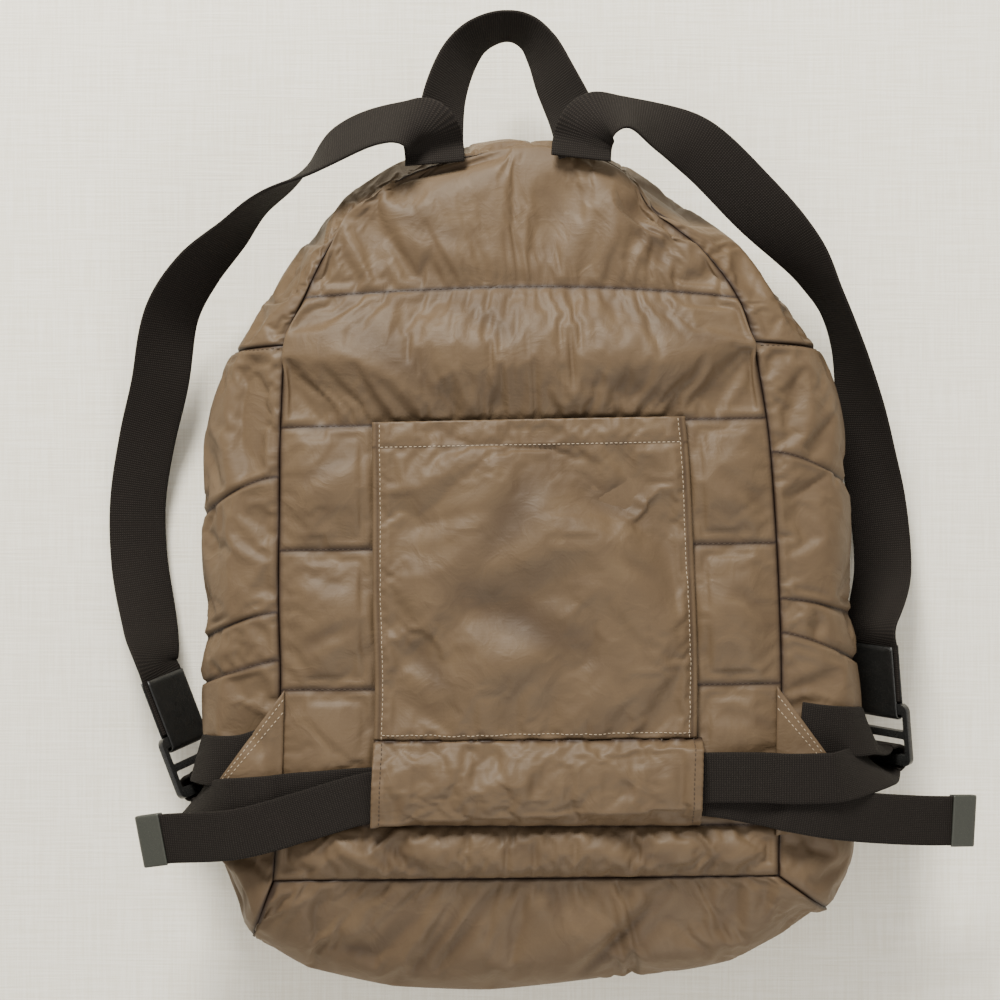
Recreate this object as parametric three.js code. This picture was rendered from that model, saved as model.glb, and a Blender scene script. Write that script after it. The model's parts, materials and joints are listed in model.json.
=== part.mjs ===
// Quilted puffer backpack, lying on its front with the back panel up.
// Millimetres, +Z up out of the back panel, +Y towards the bag's top, origin on the table under its middle.
import * as THREE from 'three';

// Driving sizes of the bag's body
const BODY_LENGTH = 433;
const BODY_WIDTH = 332;
const SEAM_HEIGHT = 80;
const BELLY_HEIGHT = 45;
const FRONT_SEAM_HEIGHT = 11;
const PANEL_CROWN = 5;
const PUFF_HEIGHT = 8;
const SIDE_PUFF = 3.5;
const FRONT_VALLEY = 3.5;
const FRONT_ROUNDING = 26;
const SEAM_WALL = 3;
const SIDE_WALL = 9;
const FRONT_WALL = 9;

// Driving sizes of the pieces on it
const POCKET_THICKNESS = 1.6;
const SLEEVE_THICKNESS = 2.4;
const WING_THICKNESS = 2;
const SHOULDER_WEBBING = 30;
const LOWER_WEBBING = 25;
const HANDLE_WEBBING = 25;
const WEBBING_THICKNESS = 1.8;
const PATCH_LENGTH = 36;
const PATCH_THICKNESS = 1.2;
const TAB_LENGTH = 12;
const TAB_THICKNESS = 1;
const ZIP_RIDGE = 1.6;

// Driving sizes of the ladder-lock sliders
const SLIDER_THICKNESS = 3;
const SLIDER_RAIL = 3;
const SLIDER_BAR = 5.5;
const SLIDER_MIDDLE_BAR = 4;
const SLIDER_SLOT = 9;

// Clearance between pieces that touch
const GAP = 0.35;

const HALF_WIDTH = BODY_WIDTH / 2;
const BOTTOM = -0.5762 * BODY_LENGTH;
const across = (share) => share * HALF_WIDTH;
const along = (share) => BOTTOM + share * BODY_LENGTH;
const lerp = THREE.MathUtils.lerp;

// Colours and finishes
const finish = (color, roughness) => new THREE.MeshStandardMaterial({ color, roughness, metalness: 0 });
const nylon = () => finish(0x86745f, 0.48);
const webbing = () => finish(0x1d1a18, 0.8);
const plastic = () => finish(0x141414, 0.35);
const patchSkin = () => finish(0x0e0e0e, 0.3);
const tabSkin = () => finish(0x4a4a3e, 0.55);
const zipTape = () => finish(0x4b4034, 0.7);

// Rows round the body from a bottom corner to the top, as shares of the half width and the length:
// back is the back panel's seam, out the widest line, front the front panel's seam, rise the seam's height.
const LEFT_ROWS = [
  { backX: -0.776, backY: 0.137, outX: -0.855, outY: 0.058, frontX: -0.76, frontY: 0.082, rise: 1 },
  { backX: -0.768, backY: 0.172, outX: -0.964, outY: 0.147, frontX: -0.8, frontY: 0.15, rise: 1 },
  { backX: -0.765, backY: 0.23, outX: -0.97, outY: 0.237, frontX: -0.8, frontY: 0.232, rise: 1 },
  { backX: -0.752, backY: 0.357, outX: -1.003, outY: 0.345, frontX: -0.79, frontY: 0.35, rise: 1 },
  { backX: -0.758, backY: 0.461, outX: -0.997, outY: 0.461, frontX: -0.79, frontY: 0.461, rise: 1 },
  { backX: -0.755, backY: 0.576, outX: -1.003, outY: 0.583, frontX: -0.79, frontY: 0.58, rise: 1 },
  { backX: -0.752, backY: 0.657, outX: -0.976, outY: 0.671, frontX: -0.78, frontY: 0.665, rise: 1 },
  { backX: -0.735, backY: 0.756, outX: -0.904, outY: 0.752, frontX: -0.745, frontY: 0.752, rise: 0.99 },
  { backX: -0.681, backY: 0.81, outX: -0.807, outY: 0.815, frontX: -0.69, frontY: 0.812, rise: 0.97 },
  { backX: -0.614, backY: 0.865, outX: -0.687, outY: 0.879, frontX: -0.61, frontY: 0.868, rise: 0.93 },
  { backX: -0.518, backY: 0.916, outX: -0.56, outY: 0.931, frontX: -0.51, frontY: 0.92, rise: 0.89 },
  { backX: -0.367, backY: 0.955, outX: -0.392, outY: 0.971, frontX: -0.36, frontY: 0.957, rise: 0.86 },
  { backX: -0.181, backY: 0.977, outX: -0.187, outY: 0.994, frontX: -0.175, frontY: 0.977, rise: 0.85 },
];
const TOP_ROW = { backX: 0, backY: 0.985, outX: 0, outY: 1, frontX: 0, frontY: 0.984, rise: 0.85 };
const RIGHT_ROWS = [
  { backX: 0.747, backY: 0.143, outX: 0.922, outY: 0.093, frontX: 0.76, frontY: 0.1, rise: 1 },
  { backX: 0.747, backY: 0.179, outX: 0.982, outY: 0.156, frontX: 0.79, frontY: 0.155, rise: 1 },
  { backX: 0.749, backY: 0.23, outX: 0.982, outY: 0.237, frontX: 0.79, frontY: 0.232, rise: 1 },
  { backX: 0.754, backY: 0.361, outX: 1.008, outY: 0.338, frontX: 0.79, frontY: 0.345, rise: 1 },
  { backX: 0.748, backY: 0.461, outX: 0.985, outY: 0.461, frontX: 0.78, frontY: 0.461, rise: 1 },
  { backX: 0.732, backY: 0.576, outX: 0.974, outY: 0.583, frontX: 0.77, frontY: 0.58, rise: 1 },
  { backX: 0.712, backY: 0.664, outX: 0.949, outY: 0.673, frontX: 0.76, frontY: 0.668, rise: 1 },
  { backX: 0.67, backY: 0.756, outX: 0.886, outY: 0.752, frontX: 0.73, frontY: 0.752, rise: 0.99 },
  { backX: 0.625, backY: 0.81, outX: 0.78, outY: 0.814, frontX: 0.68, frontY: 0.812, rise: 0.97 },
  { backX: 0.522, backY: 0.865, outX: 0.633, outY: 0.876, frontX: 0.58, frontY: 0.868, rise: 0.93 },
  { backX: 0.373, backY: 0.913, outX: 0.464, outY: 0.927, frontX: 0.46, frontY: 0.918, rise: 0.89 },
  { backX: 0.283, backY: 0.955, outX: 0.289, outY: 0.971, frontX: 0.3, frontY: 0.957, rise: 0.86 },
  { backX: 0.145, backY: 0.977, outX: 0.142, outY: 0.994, frontX: 0.16, frontY: 0.977, rise: 0.85 },
];
const ROUND = [...LEFT_ROWS, TOP_ROW, ...RIGHT_ROWS.slice().reverse()];
const TOP_START = 11;
const TOP_END = 15;

// The bottom panel's widest line and its front seam, from left to right, as the same shares
const BOTTOM_ROWS = [
  { outX: -0.855, outY: 0.058, frontX: -0.76, frontY: 0.082 },
  { outX: -0.67, outY: 0.027, frontX: -0.6, frontY: 0.064 },
  { outX: -0.42, outY: 0.004, frontX: -0.38, frontY: 0.056 },
  { outX: -0.1, outY: 0, frontX: -0.08, frontY: 0.054 },
  { outX: 0.3, outY: 0.009, frontX: 0.25, frontY: 0.057 },
  { outX: 0.62, outY: 0.032, frontX: 0.55, frontY: 0.07 },
  { outX: 0.922, outY: 0.093, frontX: 0.76, frontY: 0.1 },
];

// The quilting seams across the back, as shares of the length at both ends, with the puff above each
const SEAMS = [
  { name: 'bottom', left: 0.137, right: 0.143, puff: 0.8 },
  { name: 'low', left: 0.202, right: 0.202, puff: 0.7 },
  { name: 'hip', left: 0.357, right: 0.365, puff: 0.9 },
  { name: 'waist', left: 0.518, right: 0.527, puff: 0.9 },
  { name: 'chest', left: 0.66, right: 0.671, puff: 1 },
  { name: 'shoulder', left: 0.81, right: 0.81, puff: 1 },
  { name: 'top', left: 0.955, right: 0.955, puff: 0 },
];
const PUFF_STEPS = [0, 0.12, 0.35, 0.63, 0.88];
const STEPS = PUFF_STEPS.length;
const rowOf = (name, step = 0) => SEAMS.findIndex((seam) => seam.name === name) * STEPS + step;
const SLEEVE_TOP_ROW = rowOf('low', 3);
const CHEST_ROW = rowOf('chest');
const ZIP_END_ROW = rowOf('chest', 3);

// Columns across the panels, from -1 at the left seam to 1 at the right one
const COLUMNS = [-1, -0.94, -0.8, -0.62, -0.4, -0.18, 0.04, 0.26, 0.46, 0.66, 0.8, 0.94, 1];
const POCKET_LEFT = COLUMNS.indexOf(-0.62);
const POCKET_RIGHT = COLUMNS.indexOf(0.66);
const UNDER_POCKET = 0.45;
const UNDER_SLEEVE = 0.3;

// Steps down a gusset from the back seam at 0 over the widest line at 0.5 to the front seam at 1
const SIDE_STEPS = [0, 0.1, 0.22, 0.36, 0.5, 0.68, 0.85, 1];
const ZIP_FROM = 0.54;
const ZIP_TO = 0.66;

// Smooth value of one column of a table at a place between its rows
function smooth(table, key, place) {
  const last = table.length - 1;
  const row = Math.min(Math.max(Math.floor(place), 0), last - 1);
  const at = (index) => table[Math.min(Math.max(index, 0), last)][key];
  const f = place - row;
  const before = (at(row + 1) - at(row - 1)) / 2;
  const after = (at(row + 2) - at(row)) / 2;
  const f2 = f * f;
  const f3 = f2 * f;
  return (2 * f3 - 3 * f2 + 1) * at(row) + (f3 - 2 * f2 + f) * before
    + (3 * f2 - 2 * f3) * at(row + 1) + (f3 - f2) * after;
}

// The place in the table where a column reaches a value, between two places
function placeOf(table, key, value, from, to) {
  const rising = smooth(table, key, to) > smooth(table, key, from);
  let low = from;
  let high = to;
  for (let turn = 0; turn < 40; turn += 1) {
    const middle = (low + high) / 2;
    if ((smooth(table, key, middle) < value) === rising) {
      low = middle;
    } else {
      high = middle;
    }
  }
  return (low + high) / 2;
}

// How far a puff has risen at a share of the way between its two seams
const swell = (f) => Math.pow(Math.max(0, 4 * f * (1 - f)), 0.7);

// Rows of the panels, from the bottom seam to the top one
const rows = [];
SEAMS.slice(0, -1).forEach((seam, index) => {
  PUFF_STEPS.forEach((f) => {
    const next = SEAMS[index + 1];
    rows.push({ left: lerp(seam.left, next.left, f), right: lerp(seam.right, next.right, f), f, puff: seam.puff });
  });
});
rows.push({ left: SEAMS.at(-1).left, right: SEAMS.at(-1).right, f: 0, puff: 0 });
const LAST_ROW = rows.length - 1;
rows.forEach((row, index) => {
  row.leftPlace = placeOf(ROUND, 'backY', row.left, 0, TOP_START);
  row.rightPlace = placeOf(ROUND, 'backY', row.right, ROUND.length - 1, TOP_END);
  row.bow = Math.pow(Math.max(0, (index - CHEST_ROW) / (LAST_ROW - CHEST_ROW)), 1.3);
});

// One edge point of a panel, at a place round the body: kind is back, out or front
function edgePoint(kind, place) {
  const rise = smooth(ROUND, 'rise', place);
  const heights = { back: SEAM_HEIGHT * rise, out: BELLY_HEIGHT * (0.4 + 0.6 * rise), front: FRONT_SEAM_HEIGHT };
  const x = across(smooth(ROUND, `${kind}X`, place));
  const y = along(smooth(ROUND, `${kind}Y`, place));
  return new THREE.Vector3(x, y, heights[kind]);
}

// Points of a kind along the bottom edge and along the top edge, one for each column
function bottomEdge(kind) {
  const from = edgePoint('back', rows[0].leftPlace);
  const to = edgePoint('back', rows[0].rightPlace);
  return COLUMNS.map((u) => {
    if (kind === 'back') {
      return from.clone().lerp(to, (u + 1) / 2);
    }
    const place = ((u + 1) / 2) * (BOTTOM_ROWS.length - 1);
    const x = across(smooth(BOTTOM_ROWS, `${kind}X`, place));
    const y = along(smooth(BOTTOM_ROWS, `${kind}Y`, place));
    return new THREE.Vector3(x, y, kind === 'out' ? BELLY_HEIGHT : FRONT_SEAM_HEIGHT);
  });
}
function topPlaces() {
  const fromX = smooth(ROUND, 'backX', rows[LAST_ROW].leftPlace);
  const toX = smooth(ROUND, 'backX', rows[LAST_ROW].rightPlace);
  return COLUMNS.map((u) => {
    const x = lerp(fromX, toX, (u + 1) / 2);
    return placeOf(ROUND, 'backX', x, TOP_START - 0.5, TOP_END + 0.5);
  });
}
const TOP_PLACES = topPlaces();

// A panel's grid of points in plan: straight rows, bowed towards the bottom and top edges
function panelGrid(kind) {
  const bottom = bottomEdge(kind);
  const top = TOP_PLACES.map((place) => edgePoint(kind, place));
  const straight = (edge, u) => edge[0].clone().lerp(edge[edge.length - 1], (u + 1) / 2);
  return rows.map((row, index) => {
    const left = edgePoint(kind, row.leftPlace);
    const right = edgePoint(kind, row.rightPlace);
    const low = Math.max(0, 1 - index / STEPS);
    return COLUMNS.map((u, column) => {
      const point = left.clone().lerp(right, (u + 1) / 2);
      point.addScaledVector(top[column].clone().sub(straight(top, u)), row.bow);
      point.addScaledVector(bottom[column].clone().sub(straight(bottom, u)), low);
      return point;
    });
  });
}

// A closed solid between two matching grids of points
function sheetSolid(name, outer, inner, material) {
  const height = outer.length;
  const width = outer[0].length;
  const positions = [];
  [outer, inner].forEach((grid) => grid.forEach((line) => line.forEach((p) => positions.push(p.x, p.y, p.z))));
  const at = (side, r, c) => side * height * width + r * width + c;
  const index = [];
  const quad = (a, b, c, d) => index.push(a, b, c, a, c, d);
  for (let r = 0; r < height - 1; r += 1) {
    for (let c = 0; c < width - 1; c += 1) {
      quad(at(0, r, c), at(0, r, c + 1), at(0, r + 1, c + 1), at(0, r + 1, c));
      quad(at(1, r, c), at(1, r + 1, c), at(1, r + 1, c + 1), at(1, r, c + 1));
    }
  }
  for (let r = 0; r < height - 1; r += 1) {
    quad(at(0, r, 0), at(0, r + 1, 0), at(1, r + 1, 0), at(1, r, 0));
    quad(at(0, r + 1, width - 1), at(0, r, width - 1), at(1, r, width - 1), at(1, r + 1, width - 1));
  }
  for (let c = 0; c < width - 1; c += 1) {
    quad(at(0, 0, c + 1), at(0, 0, c), at(1, 0, c), at(1, 0, c + 1));
    quad(at(0, height - 1, c), at(0, height - 1, c + 1), at(1, height - 1, c + 1), at(1, height - 1, c));
  }
  return closedMesh(name, positions, index, material);
}

// A mesh from points and triangles, turned the right way out
function closedMesh(name, positions, index, material) {
  let volume = 0;
  const corner = (i) => new THREE.Vector3().fromArray(positions, index[i] * 3);
  for (let i = 0; i < index.length; i += 3) {
    volume += corner(i).dot(corner(i + 1).cross(corner(i + 2)));
  }
  if (volume < 0) {
    for (let i = 0; i < index.length; i += 3) {
      [index[i + 1], index[i + 2]] = [index[i + 2], index[i + 1]];
    }
  }
  const geometry = new THREE.BufferGeometry();
  geometry.setAttribute('position', new THREE.Float32BufferAttribute(positions, 3));
  geometry.setIndex(index);
  geometry.computeVertexNormals();
  const mesh = new THREE.Mesh(geometry, material);
  mesh.name = name;
  return mesh;
}

// The height of a grid's surface under a point of the plan, or null beside it
function heightOn(grid, x, y) {
  const inTriangle = (a, b, c) => {
    const area = (b.x - a.x) * (c.y - a.y) - (c.x - a.x) * (b.y - a.y);
    if (Math.abs(area) < 1e-9) {
      return null;
    }
    const s = ((x - a.x) * (c.y - a.y) - (c.x - a.x) * (y - a.y)) / area;
    const t = ((b.x - a.x) * (y - a.y) - (x - a.x) * (b.y - a.y)) / area;
    return s >= -1e-6 && t >= -1e-6 && s + t <= 1 + 1e-6 ? a.z + s * (b.z - a.z) + t * (c.z - a.z) : null;
  };
  let best = null;
  for (let r = 0; r < grid.length - 1; r += 1) {
    for (let c = 0; c < grid[0].length - 1; c += 1) {
      const [a, b, d, e] = [grid[r][c], grid[r][c + 1], grid[r + 1][c + 1], grid[r + 1][c]];
      const z = inTriangle(a, b, d) ?? inTriangle(a, d, e);
      if (z !== null && (best === null || z > best)) {
        best = z;
      }
    }
  }
  return best;
}

// Back panel: flat channels of fill between seams, pressed flatter under the pocket and the sleeve
const backPlan = panelGrid('back');
function backHeight(index, column) {
  const u = COLUMNS[column];
  const row = rows[index];
  const inward = Math.sin((Math.PI * index) / LAST_ROW);
  const pocketed = column >= POCKET_LEFT && column <= POCKET_RIGHT;
  let press = 1;
  if (pocketed && index > rowOf('bottom', STEPS) && index < CHEST_ROW) {
    press = index <= SLEEVE_TOP_ROW ? UNDER_SLEEVE : UNDER_POCKET;
  }
  const edge = Math.sqrt(Math.max(0, 1 - Math.pow(Math.abs(u), 8)));
  const crown = PANEL_CROWN * (1 - u * u) * Math.sqrt(Math.max(0, inward));
  return crown + PUFF_HEIGHT * row.puff * swell(row.f) * edge * press;
}
const backOuter = backPlan.map((line, index) => line.map((p, column) => {
  const lift = backHeight(index, column);
  return new THREE.Vector3(p.x, p.y, p.z + lift);
}));
const backInner = backPlan.map((line, index) => line.map((p, column) => {
  const u = COLUMNS[column];
  const inset = PUFF_HEIGHT * 0.3 * swell(rows[index].f) * (1 - Math.pow(Math.abs(u), 8));
  const crown = PANEL_CROWN * (1 - u * u) * Math.sqrt(Math.max(0, Math.sin((Math.PI * index) / LAST_ROW)));
  return new THREE.Vector3(p.x, p.y, p.z - SEAM_WALL + crown - inset);
}));
const backPanel = sheetSolid('back_panel', backOuter, backInner, nylon());

// Front panel: the same channels, pressed flat on the table
const frontPlan = panelGrid('front');
function rimDistance(point) {
  const rim = [...frontPlan.map((line) => line[0]), ...frontPlan[LAST_ROW],
    ...frontPlan.map((line) => line.at(-1)).reverse(), ...frontPlan[0].slice().reverse()];
  let best = Infinity;
  for (let i = 0; i < rim.length - 1; i += 1) {
    const a = new THREE.Vector2(rim[i].x, rim[i].y);
    const b = new THREE.Vector2(rim[i + 1].x, rim[i + 1].y).sub(a);
    const d = new THREE.Vector2(point.x, point.y).sub(a);
    const f = b.lengthSq() > 0 ? THREE.MathUtils.clamp(d.dot(b) / b.lengthSq(), 0, 1) : 0;
    best = Math.min(best, d.sub(b.multiplyScalar(f)).length());
  }
  return best;
}
const frontOuter = frontPlan.map((line, index) => line.map((p) => {
  const inward = Math.min(1, rimDistance(p) / FRONT_ROUNDING);
  const ramp = Math.sqrt(1 - (1 - inward) * (1 - inward));
  const valley = FRONT_VALLEY * (1 - Math.min(1, 1.1 * swell(rows[index].f))) * ramp;
  return new THREE.Vector3(p.x, p.y, FRONT_SEAM_HEIGHT * (1 - ramp) + valley);
}));
const frontInner = frontPlan.map((line) => line.map((p) => {
  const inward = Math.min(1, rimDistance(p) / FRONT_ROUNDING);
  const ramp = Math.sqrt(1 - (1 - inward) * (1 - inward));
  return new THREE.Vector3(p.x, p.y, lerp(FRONT_SEAM_HEIGHT + SEAM_WALL, FRONT_WALL, ramp));
}));
const frontPanel = sheetSolid('front_panel', frontOuter, frontInner, nylon());

// A gusset or bottom panel's section: two quarter ellipses from the back seam over the belly to the front seam
function sectionPoint(back, out, front, s, bulge) {
  const upper = s <= 0.5;
  const angle = upper ? s * Math.PI : (s - 0.5) * Math.PI;
  const plan = upper
    ? back.clone().lerp(out, Math.sin(angle))
    : out.clone().lerp(front, 1 - Math.cos(angle));
  const z = upper
    ? back.z - (back.z - out.z) * (1 - Math.cos(angle))
    : out.z - (out.z - front.z) * Math.sin(angle);
  const outward = new THREE.Vector3(out.x - back.x, out.y - back.y, 0).normalize();
  const side = upper ? Math.sin(angle) : Math.cos(angle);
  const rise = upper ? Math.cos(angle) : -Math.sin(angle);
  const push = bulge * Math.sin(Math.PI * s);
  return new THREE.Vector3(plan.x, plan.y, z)
    .addScaledVector(outward, push * side)
    .add(new THREE.Vector3(0, 0, push * rise));
}

// Grids of a band of sections, each station holding its back, out and front points and its puff
function bandGrids(stations, steps, wall) {
  const seamGap = (from, to) => {
    const outward = new THREE.Vector3(to.x - from.x, to.y - from.y, 0).normalize();
    return from.clone().addScaledVector(outward, GAP);
  };
  const outer = stations.map(({ back, out, front, bulge }) => {
    const start = seamGap(back, out);
    const end = seamGap(front, out);
    return steps.map((s) => sectionPoint(start, out, end, s, bulge));
  });
  const inner = stations.map(({ back, out, front }) => {
    const start = seamGap(back, out);
    const end = seamGap(front, out);
    const inward = new THREE.Vector3(back.x - out.x, back.y - out.y, 0).setLength(wall);
    start.z -= SEAM_WALL;
    end.z += SEAM_WALL;
    return steps.map((s) => sectionPoint(start, out.clone().add(inward), end, s, 0));
  });
  return { outer, inner };
}

// Stations round the body: up the left side, over the top and down the right side
const station = (place, back, front) => ({ place, back, out: edgePoint('out', place), front, bulge: 0 });
const leftStations = rows.map((row, i) => station(row.leftPlace, backPlan[i][0], frontPlan[i][0]));
const rightStations = rows.map((row, i) => station(row.rightPlace, backPlan[i].at(-1), frontPlan[i].at(-1)));
const topStations = TOP_PLACES.map((place, c) => station(place, backPlan[LAST_ROW][c], frontPlan[LAST_ROW][c]));

// Puffs between the stitch lines that cross a run of stations
function puffOut(stations, seamAt, height) {
  for (let i = 0; i < seamAt.length - 1; i += 1) {
    const from = stations[seamAt[i]].out.y;
    const to = stations[seamAt[i + 1]].out.y;
    for (let k = seamAt[i]; k <= seamAt[i + 1]; k += 1) {
      stations[k].bulge = height * (swell((stations[k].out.y - from) / (to - from)) - 0.6);
    }
  }
}
const SIDE_SEAM_ROWS = [0, rowOf('hip', 1), rowOf('hip', 3), rowOf('waist', 3), ZIP_END_ROW];
const leftSide = leftStations.slice(0, ZIP_END_ROW + 1);
const rightSide = rightStations.slice(0, ZIP_END_ROW + 1);
puffOut(leftSide, SIDE_SEAM_ROWS, SIDE_PUFF);
puffOut(rightSide, SIDE_SEAM_ROWS, SIDE_PUFF);

const leftBand = bandGrids(leftSide, SIDE_STEPS, SIDE_WALL);
const rightBand = bandGrids(rightSide, SIDE_STEPS, SIDE_WALL);
const gussetLeft = sheetSolid('gusset_left', leftBand.outer, leftBand.inner, nylon());
const gussetRight = sheetSolid('gusset_right', rightBand.outer, rightBand.inner, nylon());

// Draws both ends of a run of stations back from its neighbours
function shortenEnds(stations, length) {
  [[stations[0], stations[1]], [stations.at(-1), stations.at(-2)]].forEach(([end, next]) => {
    ['back', 'out', 'front'].forEach((kind) => {
      end[kind].add(next[kind].clone().sub(end[kind]).setLength(length));
    });
  });
}

// The top gusset is two padded strips with the zip between them; its ends stay clear of the side gussets
const copyStation = (entry) => ({
  back: entry.back.clone(), out: entry.out.clone(), front: entry.front.clone(), bulge: entry.bulge,
});
const arch = [
  ...leftStations.slice(ZIP_END_ROW), ...topStations.slice(1, -1), ...rightStations.slice(ZIP_END_ROW).reverse(),
].map(copyStation);
arch.forEach((entry, i) => {
  entry.bulge = SIDE_PUFF * 0.6 * Math.sqrt(Math.max(0, Math.sin((Math.PI * i) / (arch.length - 1))));
});
shortenEnds(arch, GAP * 1.5);
const TOP_WALL = SIDE_WALL * 0.6;
const archBackSteps = [0, 0.12, 0.28, 0.42, ZIP_FROM - 0.008];
const archFrontSteps = [ZIP_TO + 0.008, 0.78, 0.9, 1];
const zipSteps = [ZIP_FROM, lerp(ZIP_FROM, ZIP_TO, 0.35), lerp(ZIP_FROM, ZIP_TO, 0.65), ZIP_TO];
const archBack = bandGrids(arch, archBackSteps, TOP_WALL);
const archFront = bandGrids(arch, archFrontSteps, TOP_WALL);
const topGussetBack = sheetSolid('top_gusset_back', archBack.outer, archBack.inner, nylon());
const topGussetFront = sheetSolid('top_gusset_front', archFront.outer, archFront.inner, nylon());

// Zip: a tape across the gap with a raised row of teeth down its middle
const zipBand = bandGrids(arch, zipSteps, TOP_WALL);
const zipOuter = zipBand.outer.map((line, i) => line.map((p, j) => {
  const ridge = j === 1 || j === 2 ? 0.35 : 0.6;
  return p.clone().lerp(zipBand.inner[i][j], ridge);
}));
const zipInner = zipOuter.map((line, i) => line.map((p, j) => {
  const inward = zipBand.inner[i][j].clone().sub(p).setLength(ZIP_RIDGE);
  return p.clone().add(inward);
}));
const zip = sheetSolid('zip', zipOuter, zipInner, zipTape());

// Bottom panel: from corner to corner under the back panel's last seam
const bottomBack = backPlan[0];
const bottomOut = bottomEdge('out');
const bottomFront = frontPlan[0];
const bottomStations = COLUMNS.map((u, c) => ({
  back: bottomBack[c].clone(),
  out: bottomOut[c].clone(),
  front: bottomFront[c].clone(),
  bulge: SIDE_PUFF * (swell((u + 1) / 2) - 0.8),
}));
shortenEnds(bottomStations, GAP * 3);
const bottomBand = bandGrids(bottomStations, SIDE_STEPS, SIDE_WALL);
const bottomPanel = sheetSolid('bottom_panel', bottomBand.outer, bottomBand.inner, nylon());

// Back pocket: a flat patch over the two middle channels, stitched on at its sides and foot
const pocketRows = rows.map((row, index) => index).slice(SLEEVE_TOP_ROW, CHEST_ROW + 1);
const pocketInner = pocketRows.map((index) => {
  const cells = [];
  for (let c = POCKET_LEFT; c <= POCKET_RIGHT; c += 1) {
    const p = backOuter[index][c];
    const press = index <= SLEEVE_TOP_ROW ? UNDER_SLEEVE : UNDER_POCKET;
    const edge = index === SLEEVE_TOP_ROW || index === CHEST_ROW ? 0.2 : 0.8;
    const bridge = PUFF_HEIGHT * press * (1 - swell(rows[index].f)) * edge;
    cells.push(new THREE.Vector3(p.x, p.y, p.z + GAP + bridge));
  }
  return cells;
});
const raised = (grid, thickness) => grid.map((line) => line.map((p) => new THREE.Vector3(p.x, p.y, p.z + thickness)));
const pocketOuter = raised(pocketInner, POCKET_THICKNESS);
const backPocket = sheetSolid('back_pocket', pocketOuter, pocketInner, nylon());

// Wings: triangular tabs from the side seams that hold the lower webbing, lying on the gussets
const WINGS = {
  left: { seamTop: [-0.74, 0.357], seamFoot: [-0.75, 0.185], tipTop: [-0.94, 0.252], tipFoot: [-0.9, 0.2] },
  right: { seamTop: [0.74, 0.362], seamFoot: [0.735, 0.19], tipTop: [0.93, 0.262], tipFoot: [0.9, 0.205] },
};
const WING_STEPS = 6;
function wingGrids(corners, ground) {
  const corner = ([x, y]) => new THREE.Vector2(across(x), along(y));
  const seamTop = corner(corners.seamTop);
  const seamFoot = corner(corners.seamFoot);
  const tipTop = corner(corners.tipTop);
  const tipFoot = corner(corners.tipFoot);
  const inner = [];
  for (let i = 0; i <= WING_STEPS; i += 1) {
    const line = [];
    for (let j = 0; j <= WING_STEPS; j += 1) {
      const f = j / WING_STEPS;
      const seam = seamFoot.clone().lerp(seamTop, i / WING_STEPS);
      const tip = tipFoot.clone().lerp(tipTop, i / WING_STEPS);
      const p = seam.lerp(tip, f);
      const room = GAP + (WEBBING_THICKNESS + 5 * GAP) * Math.min(1, 3 * f) + WING_THICKNESS * 2.1 * f * f;
      line.push(new THREE.Vector3(p.x, p.y, groundHeight(ground, p.x, p.y) + room));
    }
    inner.push(line);
  }
  return { outer: raised(inner, WING_THICKNESS), inner };
}

// The highest of several grids under a point, or the lowest level beside them all
function groundHeight(grids, x, y) {
  return grids.reduce((best, grid) => Math.max(best, heightOn(grid, x, y) ?? 0), 0);
}
const topOf = (band) => band.outer.map((line) => line.slice(0, SIDE_STEPS.indexOf(0.5) + 1));
const bodyGrids = [backOuter, topOf(leftBand), topOf(rightBand), topOf(bottomBand)];
const wingLeftGrids = wingGrids(WINGS.left, bodyGrids);
const wingRightGrids = wingGrids(WINGS.right, bodyGrids);
const wingLeft = sheetSolid('wing_left', wingLeftGrids.outer, wingLeftGrids.inner, nylon());
const wingRight = sheetSolid('wing_right', wingRightGrids.outer, wingRightGrids.inner, nylon());

// A band of webbing through sections that give its middle and the direction of its width
function strip(name, sections, width, samples, material, square = 1) {
  const middle = new THREE.CatmullRomCurve3(sections.map((s) => s.p), false, 'centripetal');
  const turn = new THREE.CatmullRomCurve3(sections.map((s) => s.w), false, 'catmullrom', 0.5);
  const rings = [];
  for (let i = 0; i <= samples; i += 1) {
    const f = i / samples;
    const p = middle.getPoint(f);
    const tangent = middle.getTangent(f);
    const w = turn.getPoint(f);
    w.addScaledVector(tangent, -w.dot(tangent) * square).normalize();
    const n = tangent.clone().cross(w).normalize();
    rings.push({ p, w, n, tangent });
  }
  const grids = [1, -1].map((side) => rings.map(({ p, w, n }) => [-1, 1].map((end) => p.clone()
    .addScaledVector(w, (end * width) / 2)
    .addScaledVector(n, (side * WEBBING_THICKNESS) / 2))));
  const mesh = sheetSolid(name, grids[0], grids[1], material);
  return { mesh, rings };
}

// A direction across the webbing from its heading in plan and its tilt, in degrees
function widthDirection(heading, tilt) {
  const h = THREE.MathUtils.degToRad(heading);
  const t = THREE.MathUtils.degToRad(tilt);
  return new THREE.Vector3(Math.cos(h) * Math.cos(t), Math.sin(h) * Math.cos(t), Math.sin(t));
}

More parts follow.
